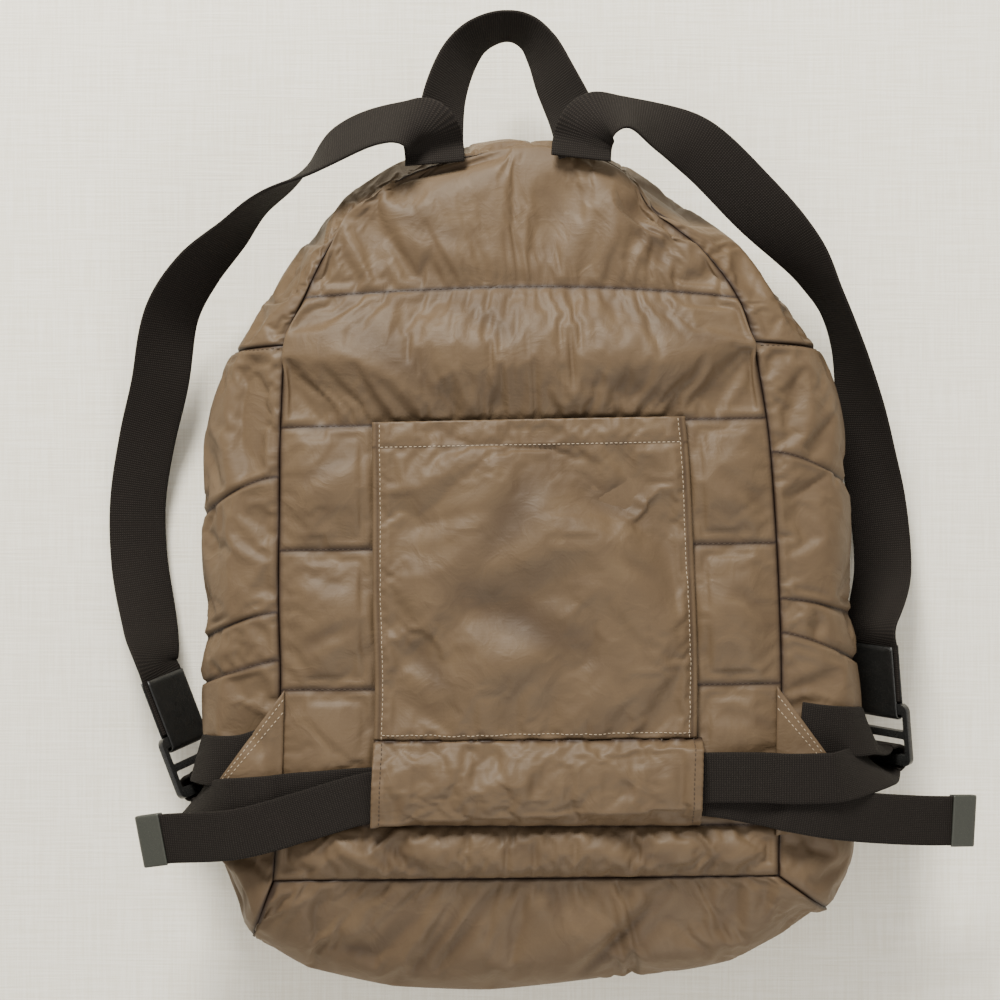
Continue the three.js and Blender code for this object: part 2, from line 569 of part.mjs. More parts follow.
// Ladder-lock sliders, standing on their inner rails beside the bag
const SLIDER_WIDTH = SHOULDER_WEBBING + 2 * GAP + 2 + 2 * SLIDER_RAIL;
const SLIDER_LENGTH = 2 * SLIDER_BAR + 2 * SLIDER_SLOT + SLIDER_MIDDLE_BAR;
const TOP_BAR = SLIDER_LENGTH / 2 - SLIDER_BAR / 2;
const LOWER_SLOT = -(SLIDER_MIDDLE_BAR + SLIDER_SLOT) / 2;
const SLIDERS = {
  left: { x: -1.063, y: 0.261, z: 0.356, run: 111, outward: 200, tilt: 57 },
  right: { x: 1.112, y: 0.296, z: 0.37, run: 96, outward: -4, tilt: 50 },
};
function sliderFrame({ x, y, z, run, outward, tilt }) {
  const a = widthDirection(outward, tilt);
  const turn = THREE.MathUtils.degToRad(outward - run);
  const rise = Math.atan(-Math.cos(turn) / Math.tan(THREE.MathUtils.degToRad(tilt)));
  const b = widthDirection(run, THREE.MathUtils.radToDeg(rise));
  const n = a.clone().cross(b);
  const facing = n.z < 0 ? -1 : 1;
  return { centre: new THREE.Vector3(across(x), along(y), z * SEAM_HEIGHT), a, b, n, up: n.clone().multiplyScalar(facing) };
}
function sliderMatrix(frame) {
  const matrix = new THREE.Matrix4().makeBasis(frame.a, frame.b, frame.n);
  matrix.setPosition(frame.centre);
  return matrix;
}
function roundedBox(shape, width, height, cx, cy, r) {
  const [x0, x1, y0, y1] = [cx - width / 2, cx + width / 2, cy - height / 2, cy + height / 2];
  shape.moveTo(x0 + r, y0);
  shape.lineTo(x1 - r, y0);
  shape.absarc(x1 - r, y0 + r, r, -Math.PI / 2, 0, false);
  shape.lineTo(x1, y1 - r);
  shape.absarc(x1 - r, y1 - r, r, 0, Math.PI / 2, false);
  shape.lineTo(x0 + r, y1);
  shape.absarc(x0 + r, y1 - r, r, Math.PI / 2, Math.PI, false);
  shape.lineTo(x0, y0 + r);
  shape.absarc(x0 + r, y0 + r, r, Math.PI, 1.5 * Math.PI, false);
  return shape;
}
function slider(name, frame) {
  const outline = roundedBox(new THREE.Shape(), SLIDER_WIDTH, SLIDER_LENGTH, 0, 0, 4);
  const slotWidth = SLIDER_WIDTH - 2 * SLIDER_RAIL;
  [LOWER_SLOT, -LOWER_SLOT].forEach((y) => {
    outline.holes.push(roundedBox(new THREE.Path(), slotWidth, SLIDER_SLOT, 0, y, 1));
  });
  const geometry = new THREE.ExtrudeGeometry(outline, { depth: SLIDER_THICKNESS, bevelEnabled: false, curveSegments: 3 });
  geometry.translate(0, 0, -SLIDER_THICKNESS / 2);
  geometry.applyMatrix4(sliderMatrix(frame));
  const mesh = new THREE.Mesh(geometry, plastic());
  mesh.name = name;
  return mesh;
}

// A skin folded over something: legs on both sides, joined by a round bend; extruded along its width
function foldedSkin(name, matrix, room, thickness, leg, width, material) {
  const inner = room / 2;
  const outer = inner + thickness;
  const shape = new THREE.Shape();
  shape.moveTo(leg, outer);
  shape.lineTo(0, outer);
  shape.absarc(0, 0, outer, Math.PI / 2, 1.5 * Math.PI, false);
  shape.lineTo(leg, -outer);
  shape.lineTo(leg, -inner);
  shape.lineTo(0, -inner);
  shape.absarc(0, 0, inner, 1.5 * Math.PI, Math.PI / 2, true);
  shape.lineTo(leg, inner);
  shape.closePath();
  const geometry = new THREE.ExtrudeGeometry(shape, { depth: width, bevelEnabled: false, curveSegments: 6 });
  geometry.translate(0, 0, -width / 2);
  geometry.applyMatrix4(matrix);
  const mesh = new THREE.Mesh(geometry, material);
  mesh.name = name;
  return mesh;
}

// The patch's frame: its bend lies round the slider's top bar and its legs run up the strap
const PATCH_ROOM = Math.max(SLIDER_THICKNESS, WEBBING_THICKNESS) + 2 * GAP;
function patchOn(name, frame) {
  const matrix = new THREE.Matrix4().makeBasis(frame.b, frame.n, frame.b.clone().cross(frame.n));
  matrix.setPosition(frame.centre.clone().addScaledVector(frame.b, TOP_BAR - SLIDER_BAR / 2));
  return foldedSkin(name, matrix, PATCH_ROOM, PATCH_THICKNESS, PATCH_LENGTH, SHOULDER_WEBBING - 2, patchSkin());
}

// Shoulder straps as rows from the top seam to the patch, as shares of the half width, length and seam height
const LEFT_STRAP = [
  { x: -0.289, y: 0.966, z: 0.9, heading: 20, tilt: 0 },
  { x: -0.292, y: 0.985, z: 0.94, heading: 16, tilt: 0 },
  { x: -0.305, y: 1.0, z: 1.02, heading: 20, tilt: 0 },
  { x: -0.36, y: 1.01, z: 1.05, heading: 50, tilt: -20 },
  { x: -0.46, y: 1.008, z: 1.0, heading: 90, tilt: -40 },
  { x: -0.584, y: 0.991, z: 0.9, heading: 115, tilt: -51 },
  { x: -0.675, y: 0.966, z: 0.82, heading: 122, tilt: -72 },
  { x: -0.753, y: 0.946, z: 0.75, heading: 126, tilt: -90 },
  { x: -0.848, y: 0.922, z: 0.69, heading: 128, tilt: -101 },
  { x: -0.93, y: 0.891, z: 0.62, heading: 134, tilt: -114 },
  { x: -1.04, y: 0.851, z: 0.53, heading: 142, tilt: -130 },
  { x: -1.127, y: 0.802, z: 0.41, heading: 152, tilt: -147 },
  { x: -1.177, y: 0.717, z: 0.28, heading: 167, tilt: -172 },
  { x: -1.227, y: 0.65, z: 0.17, heading: 172, tilt: -180 },
  { x: -1.262, y: 0.576, z: 0.1, heading: 180, tilt: -180 },
  { x: -1.258, y: 0.502, z: 0.1, heading: 190, tilt: -176 },
  { x: -1.217, y: 0.428, z: 0.2, heading: 197, tilt: -150 },
];
const RIGHT_STRAP = [
  { x: 0.151, y: 0.97, z: 0.985, heading: 165, tilt: 0 },
  { x: 0.156, y: 0.988, z: 1.01, heading: 163, tilt: 0 },
  { x: 0.17, y: 1.003, z: 1.04, heading: 157, tilt: 0 },
  { x: 0.21, y: 1.018, z: 1.06, heading: 128, tilt: -24 },
  { x: 0.285, y: 1.022, z: 1.05, heading: 108, tilt: -46 },
  { x: 0.401, y: 1.005, z: 1.0, heading: 66, tilt: -31 },
  { x: 0.513, y: 0.983, z: 0.93, heading: 52, tilt: -4 },
  { x: 0.679, y: 0.927, z: 0.8, heading: 38, tilt: 14 },
  { x: 0.835, y: 0.869, z: 0.68, heading: 36, tilt: 46 },
  { x: 0.91, y: 0.83, z: 0.59, heading: 26, tilt: 66 },
  { x: 0.959, y: 0.8, z: 0.53, heading: 22, tilt: 73 },
  { x: 1.006, y: 0.757, z: 0.45, heading: 16, tilt: 68 },
  { x: 1.046, y: 0.698, z: 0.35, heading: 14, tilt: 50 },
  { x: 1.081, y: 0.637, z: 0.25, heading: 10, tilt: 30 },
  { x: 1.125, y: 0.564, z: 0.16, heading: 3, tilt: 10 },
  { x: 1.136, y: 0.489, z: 0.19, heading: 358, tilt: 12 },
];
const topGround = [backOuter, archBack.outer];
const HANDLE_LIFT = 3 * GAP + WEBBING_THICKNESS / 2;
const UPPER_LIFT = HANDLE_LIFT + WEBBING_THICKNESS + 6 * GAP;
function tableSections(table, width = 0, lift = 0) {
  return table.map(({ x, y, z, heading, tilt }) => {
    const p = new THREE.Vector3(across(x), along(y), z * SEAM_HEIGHT);
    const w = widthDirection(heading, tilt);
    if (width > 0 && tilt === 0) {
      for (let k = -3; k <= 3; k += 1) {
        for (const step of [-4, 0, 4]) {
          const q = p.clone().addScaledVector(w, (k * width) / 6);
          p.z = Math.max(p.z, groundHeight(topGround, q.x, q.y + step) + lift);
        }
      }
    }
    return { p, w };
  });
}

// The end of a shoulder strap, flat between the legs of its patch
function strapEnd(frame, side) {
  return [PATCH_LENGTH + 6, PATCH_LENGTH - 4, PATCH_LENGTH / 2, SLIDER_BAR / 2 + 1].map((run) => ({
    p: frame.centre.clone().addScaledVector(frame.b, TOP_BAR + run),
    w: frame.a.clone().multiplyScalar(side),
  }));
}
const leftFrame = sliderFrame(SLIDERS.left);
const rightFrame = sliderFrame(SLIDERS.right);
const shoulderLeft = strip('shoulder_strap_left', [...tableSections(LEFT_STRAP, SHOULDER_WEBBING, UPPER_LIFT), ...strapEnd(leftFrame, -1)],
  SHOULDER_WEBBING, 76, webbing());
const shoulderRight = strip('shoulder_strap_right', [...tableSections(RIGHT_STRAP, SHOULDER_WEBBING, UPPER_LIFT), ...strapEnd(rightFrame, 1)],
  SHOULDER_WEBBING, 76, webbing());

// Carry handle: a loop of webbing from under the two shoulder straps
const HANDLE_ROWS = [
  { x: -0.275, y: 0.972, z: 0.865, heading: 12, tilt: 0 },
  { x: -0.277, y: 1.003, z: 0.82, heading: 0, tilt: -16 },
  { x: -0.258, y: 1.057, z: 0.75, heading: -8, tilt: -36 },
  { x: -0.213, y: 1.102, z: 0.69, heading: -22, tilt: -48 },
  { x: -0.154, y: 1.128, z: 0.65, heading: -44, tilt: -60 },
  { x: -0.07, y: 1.14, z: 0.62, heading: -84, tilt: -65 },
  { x: -0.007, y: 1.13, z: 0.65, heading: -122, tilt: -58 },
  { x: 0.038, y: 1.107, z: 0.69, heading: -144, tilt: -46 },
  { x: 0.078, y: 1.071, z: 0.75, heading: -152, tilt: -32 },
  { x: 0.128, y: 1.026, z: 0.82, heading: -160, tilt: -16 },
  { x: 0.158, y: 0.978, z: 0.865, heading: -164, tilt: 0 },
];
const handle = strip('handle', tableSections(HANDLE_ROWS, HANDLE_WEBBING, HANDLE_LIFT), HANDLE_WEBBING, 40, webbing());

// Lower straps: sewn under a wing, round the slider's lower bar, back over the wing, through the sleeve
// and out on the far side. Rows on the bag give their place in plan; the bag carries them.
const LOWER_STRAPS = {
  left: {
    under: [{ x: -0.809, y: 0.284 }, { x: -0.855, y: 0.278 }, { x: -0.9, y: 0.275 }],
    down: [
      { x: -0.972, y: 0.2735, z: 0.82, heading: 88, tilt: -10 },
      { x: -1.026, y: 0.271, z: 0.68, heading: 78, tilt: -30 },
    ],
    up: [
      { x: -1.036, y: 0.22, z: 0.575, heading: 48, tilt: -47 },
      { x: -1.004, y: 0.2195, z: 0.81, heading: 76, tilt: -28 },
    ],
    over: [
      { x: -0.904, y: 0.2286 }, { x: -0.813, y: 0.231 }, { x: -0.474, y: 0.241 }, { x: 0, y: 0.2448 },
      { x: 0.525, y: 0.2432 }, { x: 0.729, y: 0.229 }, { x: 0.964, y: 0.213 }, { x: 1.193, y: 0.203 },
      { x: 1.345, y: 0.1995 },
    ],
    layer: 0,
  },
  right: {
    under: [{ x: 0.811, y: 0.315 }, { x: 0.86, y: 0.312 }, { x: 0.925, y: 0.309 }],
    down: [
      { x: 0.984, y: 0.307, z: 0.83, heading: 92, tilt: -10 },
      { x: 1.038, y: 0.3045, z: 0.7, heading: 102, tilt: -30 },
    ],
    up: [
      { x: 1.066, y: 0.2605, z: 0.76, heading: 132, tilt: -47 },
      { x: 0.994, y: 0.2625, z: 0.98, heading: 104, tilt: -30 },
    ],
    over: [
      { x: 0.904, y: 0.2598 }, { x: 0.813, y: 0.2587 }, { x: 0.525, y: 0.2594 }, { x: 0, y: 0.2506 },
      { x: -0.241, y: 0.2436 }, { x: -0.474, y: 0.2367 }, { x: -0.691, y: 0.2136 }, { x: -0.86, y: 0.1963 },
      { x: -0.96, y: 0.1905 }, { x: -1.096, y: 0.1852 }, { x: -1.163, y: 0.1806 },
    ],
    layer: 1,
  },
};
const LAY_STEPS = 54;
const FREE_SLOPE = 0.36;

// Sections of webbing lying on the bag: the highest ground under its width, with bridged hollows
function layStrap(waypoints, ground, width, lift) {
  const path = new THREE.CatmullRomCurve3(
    waypoints.map(({ x, y }) => new THREE.Vector3(across(x), along(y), 0)), false, 'centripetal');
  const sections = path.getSpacedPoints(LAY_STEPS).map((p, i) => {
    const tangent = path.getTangentAt(i / LAY_STEPS);
    return { p, w: new THREE.Vector3(-tangent.y, tangent.x, 0).normalize() };
  });
  const step = path.getLength() / LAY_STEPS;
  sections.forEach(({ p, w }) => {
    for (let k = -4; k <= 4; k += 1) {
      for (const reach of [-4, 0, 4]) {
        const q = p.clone().addScaledVector(w, (k * width) / 8);
        p.z = Math.max(p.z, groundHeight(ground, q.x + reach, q.y));
      }
    }
  });
  for (let i = 1; i < sections.length; i += 1) {
    sections[i].p.z = Math.max(sections[i].p.z, sections[i - 1].p.z - FREE_SLOPE * step);
  }
  for (let i = sections.length - 2; i > 3; i -= 1) {
    sections[i].p.z = Math.max(sections[i].p.z, sections[i + 1].p.z - 2 * FREE_SLOPE * step);
  }
  sections.forEach(({ p }) => {
    p.z += lift;
  });
  return sections;
}

// The turn of a lower strap round the slider's lower bar, from the slot to below the slider
function barTurn(frame, side) {
  const reach = SLIDER_THICKNESS / 2 + GAP + WEBBING_THICKNESS;
  const w = frame.a.clone().multiplyScalar(side);
  const spot = (b, up) => frame.centre.clone()
    .addScaledVector(frame.b, b)
    .addScaledVector(frame.up, up);
  const below = -SLIDER_LENGTH / 2;
  return [
    { p: spot(LOWER_SLOT + 1, reach + 4), w },
    { p: spot(LOWER_SLOT, reach), w },
    { p: spot(LOWER_SLOT, 0), w },
    { p: spot(LOWER_SLOT - 2.2, -reach), w },
    { p: spot(below - 0.5, -reach), w },
    { p: spot(below - 2.4, 0), w },
    { p: spot(below - 2.4, reach), w },
  ];
}

const wingTops = [wingLeftGrids.outer, wingRightGrids.outer];
function lowerStrap(side, frame, extraGround) {
  const { under, down, up, over, layer } = LOWER_STRAPS[side];
  const sewn = under.map(({ x, y }) => {
    const p = new THREE.Vector3(across(x), along(y), 0);
    for (let k = -3; k <= 3; k += 1) {
      const ground = groundHeight(bodyGrids, p.x, p.y + (k * LOWER_WEBBING) / 6);
      p.z = Math.max(p.z, ground + 5 * GAP + WEBBING_THICKNESS / 2);
    }
    return { p, w: new THREE.Vector3(0, 1, 0) };
  });
  const lift = GAP * 2.4 + WEBBING_THICKNESS / 2 + layer * GAP;
  const laid = layStrap(over, [...bodyGrids, ...wingTops, ...extraGround], LOWER_WEBBING, lift);
  laid.forEach((section) => {
    if (section.w.y < 0) {
      section.w.negate();
    }
  });
  const sections = [
    ...sewn, ...tableSections(down), ...barTurn(frame, -1), ...tableSections(up), ...laid,
  ];
  return strip(`lower_strap_${side}`, sections, LOWER_WEBBING, 130, webbing(), 0.6);
}
const topFace = ({ rings }) => rings.map(({ p, w, n }) => {
  const up = Math.sign(n.z) * (WEBBING_THICKNESS / 2);
  return [-1, 1].map((end) => p.clone().addScaledVector(w, (end * LOWER_WEBBING) / 2).addScaledVector(n, up));
});
const lowerLeft = lowerStrap('left', leftFrame, []);
const lowerRight = lowerStrap('right', rightFrame, [topFace(lowerLeft)]);

// End tabs folded over the free ends
function endTab(name, { rings }) {
  const { p, w, tangent } = rings.at(-1);
  const back = tangent.clone().negate();
  const n = w.clone().cross(back);
  const matrix = new THREE.Matrix4().makeBasis(back, n, back.clone().cross(n));
  matrix.setPosition(p.clone().addScaledVector(tangent, WEBBING_THICKNESS / 2 + GAP));
  return foldedSkin(name, matrix, WEBBING_THICKNESS + 2 * GAP, TAB_THICKNESS, TAB_LENGTH, LOWER_WEBBING + 1, tabSkin());
}

// Sleeve: a padded tunnel over both lower straps, stitched down along its two long edges
const SLEEVE_SHARES = [0, 0.04, 0.1, 0.2, 0.35, 0.5, 0.65, 0.8, 0.9, 0.96, 1];
const strapTops = [topFace(lowerLeft), topFace(lowerRight)];
function sleeveGrid() {
  const grid = [];
  for (const f of SLEEVE_SHARES) {
    const line = [];
    for (let c = POCKET_LEFT; c <= POCKET_RIGHT; c += 1) {
      const from = backOuter[rowOf('low')][c];
      const to = backOuter[SLEEVE_TOP_ROW][c];
      const p = from.clone().lerp(to, f);
      const ground = groundHeight([backOuter, pocketOuter], p.x, p.y);
      const arch = Math.pow(4 * f * (1 - f), 0.35);
      const room = (2 * WEBBING_THICKNESS + 6 * GAP + 1.2) * arch;
      let strapTop = 0;
      for (let dx = -8; dx <= 8; dx += 4) {
        for (let dy = -3; dy <= 3; dy += 1.5) {
          strapTop = Math.max(strapTop, groundHeight(strapTops, p.x + dx, p.y + dy));
        }
      }
      line.push(new THREE.Vector3(p.x, p.y, Math.max(ground + GAP + room, strapTop + 2 * GAP)));
    }
    grid.push(line);
  }
  return grid;
}
const sleeveInner = sleeveGrid();
const sleeveOuter = sleeveInner.map((line, i) => line.map((p) => {
  const plump = Math.sin(Math.PI * SLEEVE_SHARES[i]);
  return new THREE.Vector3(p.x, p.y, p.z + lerp(1.2, SLEEVE_THICKNESS, plump));
}));
const strapSleeve = sheetSolid('strap_sleeve', sleeveOuter, sleeveInner, nylon());

const backpack = new THREE.Group();
backpack.add(
  backPanel, frontPanel, gussetLeft, gussetRight, topGussetBack, topGussetFront, zip, bottomPanel,
  backPocket, strapSleeve, wingLeft, wingRight,
  shoulderLeft.mesh, shoulderRight.mesh, handle.mesh, lowerLeft.mesh, lowerRight.mesh,
  patchOn('strap_patch_left', leftFrame), patchOn('strap_patch_right', rightFrame),
  slider('slider_left', leftFrame), slider('slider_right', rightFrame),
  endTab('end_tab_left', lowerRight), endTab('end_tab_right', lowerLeft),
);

export default backpack;
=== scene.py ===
# %% [markdown]
# # A quilted puffer backpack, lying on its front
# We start from a packed set of plain solids that fixes where every piece is and how big it is.
# Each solid is then replaced by a fabric piece that is sewn, filled and creased like the real one.

# %% Load the solids and keep their box
import json
import math

import bmesh
import bpy
import numpy as np
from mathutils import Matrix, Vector
from mathutils.bvhtree import BVHTree

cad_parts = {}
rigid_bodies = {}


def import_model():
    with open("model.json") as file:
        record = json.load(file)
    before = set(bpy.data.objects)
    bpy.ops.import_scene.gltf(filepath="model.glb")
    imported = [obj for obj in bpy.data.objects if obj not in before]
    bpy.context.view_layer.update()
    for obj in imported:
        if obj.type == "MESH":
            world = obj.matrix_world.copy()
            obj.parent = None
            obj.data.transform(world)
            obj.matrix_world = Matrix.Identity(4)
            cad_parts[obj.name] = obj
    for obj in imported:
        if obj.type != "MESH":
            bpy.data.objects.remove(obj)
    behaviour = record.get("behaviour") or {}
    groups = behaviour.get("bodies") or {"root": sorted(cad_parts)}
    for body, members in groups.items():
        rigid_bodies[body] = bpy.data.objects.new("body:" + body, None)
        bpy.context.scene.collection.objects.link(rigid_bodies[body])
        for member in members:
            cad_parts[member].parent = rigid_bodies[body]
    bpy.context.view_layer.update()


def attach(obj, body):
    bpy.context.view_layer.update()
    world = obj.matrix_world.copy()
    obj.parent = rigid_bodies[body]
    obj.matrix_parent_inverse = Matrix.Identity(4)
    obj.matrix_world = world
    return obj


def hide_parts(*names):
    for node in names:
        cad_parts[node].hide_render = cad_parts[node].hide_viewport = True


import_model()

# %% [markdown]
# ## The camera
# The photograph looks straight down on the bag from about a metre. A camera in Blender looks down its own
# -Z, so with no rotation at all it already looks at the floor, with the bag's top towards the picture's top.

# %% Camera above the bag
MM = 0.001
CAMERA_HEIGHT = 1050 * MM
CAMERA_X = -15.3 * MM
HALF_VIEW = 0.2575
SENSOR = 36.0

camera_data = bpy.data.cameras.new("photo_camera")
camera_data.sensor_width = SENSOR
camera_data.lens = SENSOR / (2 * HALF_VIEW)
camera = bpy.data.objects.new("photo_camera", camera_data)
camera.location = (CAMERA_X, 0, CAMERA_HEIGHT)
bpy.context.scene.collection.objects.link(camera)
bpy.context.scene.camera = camera
print("lens in mm:", round(camera_data.lens, 1))

# %% [markdown]
# ## The pattern of the bag
# A bag is cut from flat panels that meet in seams, so the seams are drawn first. Three lines run round the
# body: the back panel's seam, the widest line of the side, and the front panel's seam. They could be drawn
# as curves in the viewport; here they are short tables of shares of the bag's half width and length, with a
# smooth curve through them, because every panel can then be built from the same lines and will always meet.

# %% Sizes and a smooth curve through a table
BODY_LENGTH = 433 * MM
HALF_WIDTH = 166 * MM
SEAM_HEIGHT = 80 * MM
BELLY_HEIGHT = 45 * MM
FRONT_SEAM_HEIGHT = 11 * MM
PANEL_CROWN = 5 * MM
BOTTOM = -0.5762 * BODY_LENGTH
SEAM_GAP = 0.35 * MM


def smooth(table, place):
    """Values of a table's columns at places between its rows, on a Catmull-Rom curve."""
    table = np.asarray(table, float)
    place = np.clip(np.asarray(place, float), 0, len(table) - 1)
    row = np.minimum(place.astype(int), len(table) - 2)
    f = (place - row)[..., None]

    def at(index):
        return table[np.clip(index, 0, len(table) - 1)]

    before = (at(row + 1) - at(row - 1)) / 2
    after = (at(row + 2) - at(row)) / 2
    return ((2 * f**3 - 3 * f**2 + 1) * at(row) + (f**3 - 2 * f**2 + f) * before
            + (3 * f**2 - 2 * f**3) * at(row + 1) + (f**3 - f**2) * after)


def place_of(table, column, value, start, end):
    """The places between start and end where a column of the table reaches the values."""
    value = np.asarray(value, float)
    low, high = np.full(value.shape, float(start)), np.full(value.shape, float(end))
    rising = smooth(table, high)[..., column] > smooth(table, low)[..., column]
    for _ in range(40):
        middle = (low + high) / 2
        short = (smooth(table, middle)[..., column] < value) == rising
        low, high = np.where(short, middle, low), np.where(short, high, middle)
    return (low + high) / 2


# %% The three lines round the body
# Columns: back x, back y, widest x, widest y, front x, front y, and the back seam's height.
BACK, WIDEST, FRONT, RISE = (0, 1), (2, 3), (4, 5), 6
LEFT_ROWS = [
    (-0.776, 0.137, -0.855, 0.058, -0.76, 0.082, 1),
    (-0.768, 0.172, -0.964, 0.147, -0.8, 0.15, 1),
    (-0.765, 0.23, -0.97, 0.237, -0.8, 0.232, 1),
    (-0.752, 0.357, -1.003, 0.345, -0.79, 0.35, 1),
    (-0.758, 0.461, -0.997, 0.461, -0.79, 0.461, 1),
    (-0.755, 0.576, -1.003, 0.583, -0.79, 0.58, 1),
    (-0.752, 0.657, -0.976, 0.671, -0.78, 0.665, 1),
    (-0.735, 0.756, -0.904, 0.752, -0.745, 0.752, 0.99),
    (-0.681, 0.81, -0.807, 0.815, -0.69, 0.812, 0.97),
    (-0.614, 0.865, -0.687, 0.879, -0.61, 0.868, 0.93),
    (-0.518, 0.916, -0.56, 0.931, -0.51, 0.92, 0.89),
    (-0.367, 0.955, -0.392, 0.971, -0.36, 0.957, 0.86),
    (-0.181, 0.977, -0.187, 0.994, -0.175, 0.977, 0.85),
]
TOP_ROW = (0, 0.985, 0, 1, 0, 0.984, 0.85)
RIGHT_ROWS = [
    (0.747, 0.143, 0.922, 0.093, 0.76, 0.1, 1),
    (0.747, 0.179, 0.982, 0.156, 0.79, 0.155, 1),
    (0.749, 0.23, 0.982, 0.237, 0.79, 0.232, 1),
    (0.754, 0.361, 1.008, 0.338, 0.79, 0.345, 1),
    (0.748, 0.461, 0.985, 0.461, 0.78, 0.461, 1),
    (0.732, 0.576, 0.974, 0.583, 0.77, 0.58, 1),
    (0.712, 0.664, 0.949, 0.673, 0.76, 0.668, 1),
    (0.67, 0.756, 0.886, 0.752, 0.73, 0.752, 0.99),
    (0.625, 0.81, 0.78, 0.814, 0.68, 0.812, 0.97),
    (0.522, 0.865, 0.633, 0.876, 0.58, 0.868, 0.93),
    (0.373, 0.913, 0.464, 0.927, 0.46, 0.918, 0.89),
    (0.283, 0.955, 0.289, 0.971, 0.3, 0.957, 0.86),
    (0.145, 0.977, 0.142, 0.994, 0.16, 0.977, 0.85),
]
AROUND = np.array(LEFT_ROWS + [TOP_ROW] + RIGHT_ROWS[::-1])
TOP_START, TOP_END, LAST_PLACE = 11, 15, len(AROUND) - 1

# The bottom panel's widest line and front seam, from left to right
BOTTOM_ROWS = np.array([
    (-0.855, 0.058, -0.76, 0.082),
    (-0.67, 0.027, -0.6, 0.064),
    (-0.42, 0.004, -0.38, 0.056),
    (-0.1, 0, -0.08, 0.054),
    (0.3, 0.009, 0.25, 0.057),
    (0.62, 0.032, 0.55, 0.07),
    (0.922, 0.093, 0.76, 0.1),
])


def body_point(x, y, z):
    """A point from shares of the half width, the length and the seam height."""
    return np.array([x * HALF_WIDTH, BOTTOM + y * BODY_LENGTH, z * SEAM_HEIGHT])


def edge_points(kind, place):
    """Points on one of the three lines at places round the body."""
    values = smooth(AROUND, place)
    rise = values[..., RISE]
    if kind is BACK:
        height = SEAM_HEIGHT * rise
    elif kind is WIDEST:
        height = BELLY_HEIGHT * (0.4 + 0.6 * rise)
    else:
        height = FRONT_SEAM_HEIGHT + 0 * rise
    x, y = HALF_WIDTH * values[..., kind[0]], BOTTOM + BODY_LENGTH * values[..., kind[1]]
    return np.stack([x, y, height], -1)


def side_place(side, share):
    """Where the back seam passes a share of the length, on the left or the right side."""
    if side == "left":
        return place_of(AROUND, BACK[1], share, 0, TOP_START)
    return place_of(AROUND, BACK[1], share, LAST_PLACE, TOP_END)


print("places round the body:", len(AROUND))

# %% [markdown]
# ## Panels as grids
# The back panel is quilted into six channels by straight seams. A grid whose rows follow the seams lets us
# pin exactly the vertices that are sewn. A subdivided plane with a lattice would do too, but its rows would
# not fall on the seams.

# %% The back panel's rows and columns
SEAM_SHARES = [
    ("bottom", 0.137, 0.143), ("low", 0.202, 0.202), ("hip", 0.357, 0.365), ("waist", 0.518, 0.527),
    ("chest", 0.66, 0.671), ("shoulder", 0.81, 0.81), ("top", 0.955, 0.955),
]
SEAM_ORDER = [name for name, left, right in SEAM_SHARES]
SEAM_ENDS = np.array([(left, right) for name, left, right in SEAM_SHARES])
COARSE_STEPS = [0, 0.12, 0.35, 0.63, 0.88, 1]
POCKET_SIDES = (-0.62, 0.66)
SLEEVE_TOP = 1.63
CHEST, LAST_CHANNEL = SEAM_ORDER.index("chest"), len(SEAM_ORDER) - 1
PANEL_HALF = 125 * MM


def spaced(marks, length, step, fewest=4):
    """Positions from the first mark to the last, about one step apart, with every mark among them."""
    parts = []
    for low, high in zip(marks, marks[1:]):
        count = max(fewest, round((high - low) * length / step))
        parts.extend(low + (high - low) * np.arange(count) / count)
    return np.array([*parts, marks[-1]])


def channel_rows(step):
    """Row positions, as channel number plus share, about one step apart, with every seam on a row."""
    rows = []
    for channel in range(LAST_CHANNEL):
        length = (SEAM_ENDS[channel + 1, 0] - SEAM_ENDS[channel, 0]) * BODY_LENGTH
        count = max(4, round(length / step))
        rows.extend(channel + np.arange(count) / count)
    return np.array([*rows, LAST_CHANNEL])


def row_ends(rows):
    """A row's shares of the length at the left and the right end."""
    channel = np.minimum(rows.astype(int), LAST_CHANNEL - 1)
    f = (rows - channel)[:, None]
    return SEAM_ENDS[channel] * (1 - f) + SEAM_ENDS[channel + 1] * f


def bottom_edge(kind, u):
    """The panels' lower edge: the back seam is straight, the other two lines follow the bottom panel."""
    if kind is BACK:
        ends = edge_points(BACK, np.array([0.0, LAST_PLACE]))
        return ends[0] + (ends[1] - ends[0]) * ((u + 1) / 2)[..., None]
    values = smooth(BOTTOM_ROWS, (u + 1) / 2 * (len(BOTTOM_ROWS) - 1))
    first = 0 if kind is WIDEST else 2
    height = BELLY_HEIGHT if kind is WIDEST else FRONT_SEAM_HEIGHT
    x, y = HALF_WIDTH * values[..., first], BOTTOM + BODY_LENGTH * values[..., first + 1]
    return np.stack([x, y, height + 0 * x], -1)


TOP_SIDES = np.array([side_place("left", SEAM_ENDS[-1, 0]), side_place("right", SEAM_ENDS[-1, 1])])
TOP_X = smooth(AROUND, TOP_SIDES)[:, 0]


def top_edge(kind, u):
    """The panels' upper edge, from the left end of the top seam to the right one."""
    x = TOP_X[0] + (TOP_X[1] - TOP_X[0]) * (u + 1) / 2
    return edge_points(kind, place_of(AROUND, 0, x, TOP_START - 0.5, TOP_END + 0.5))


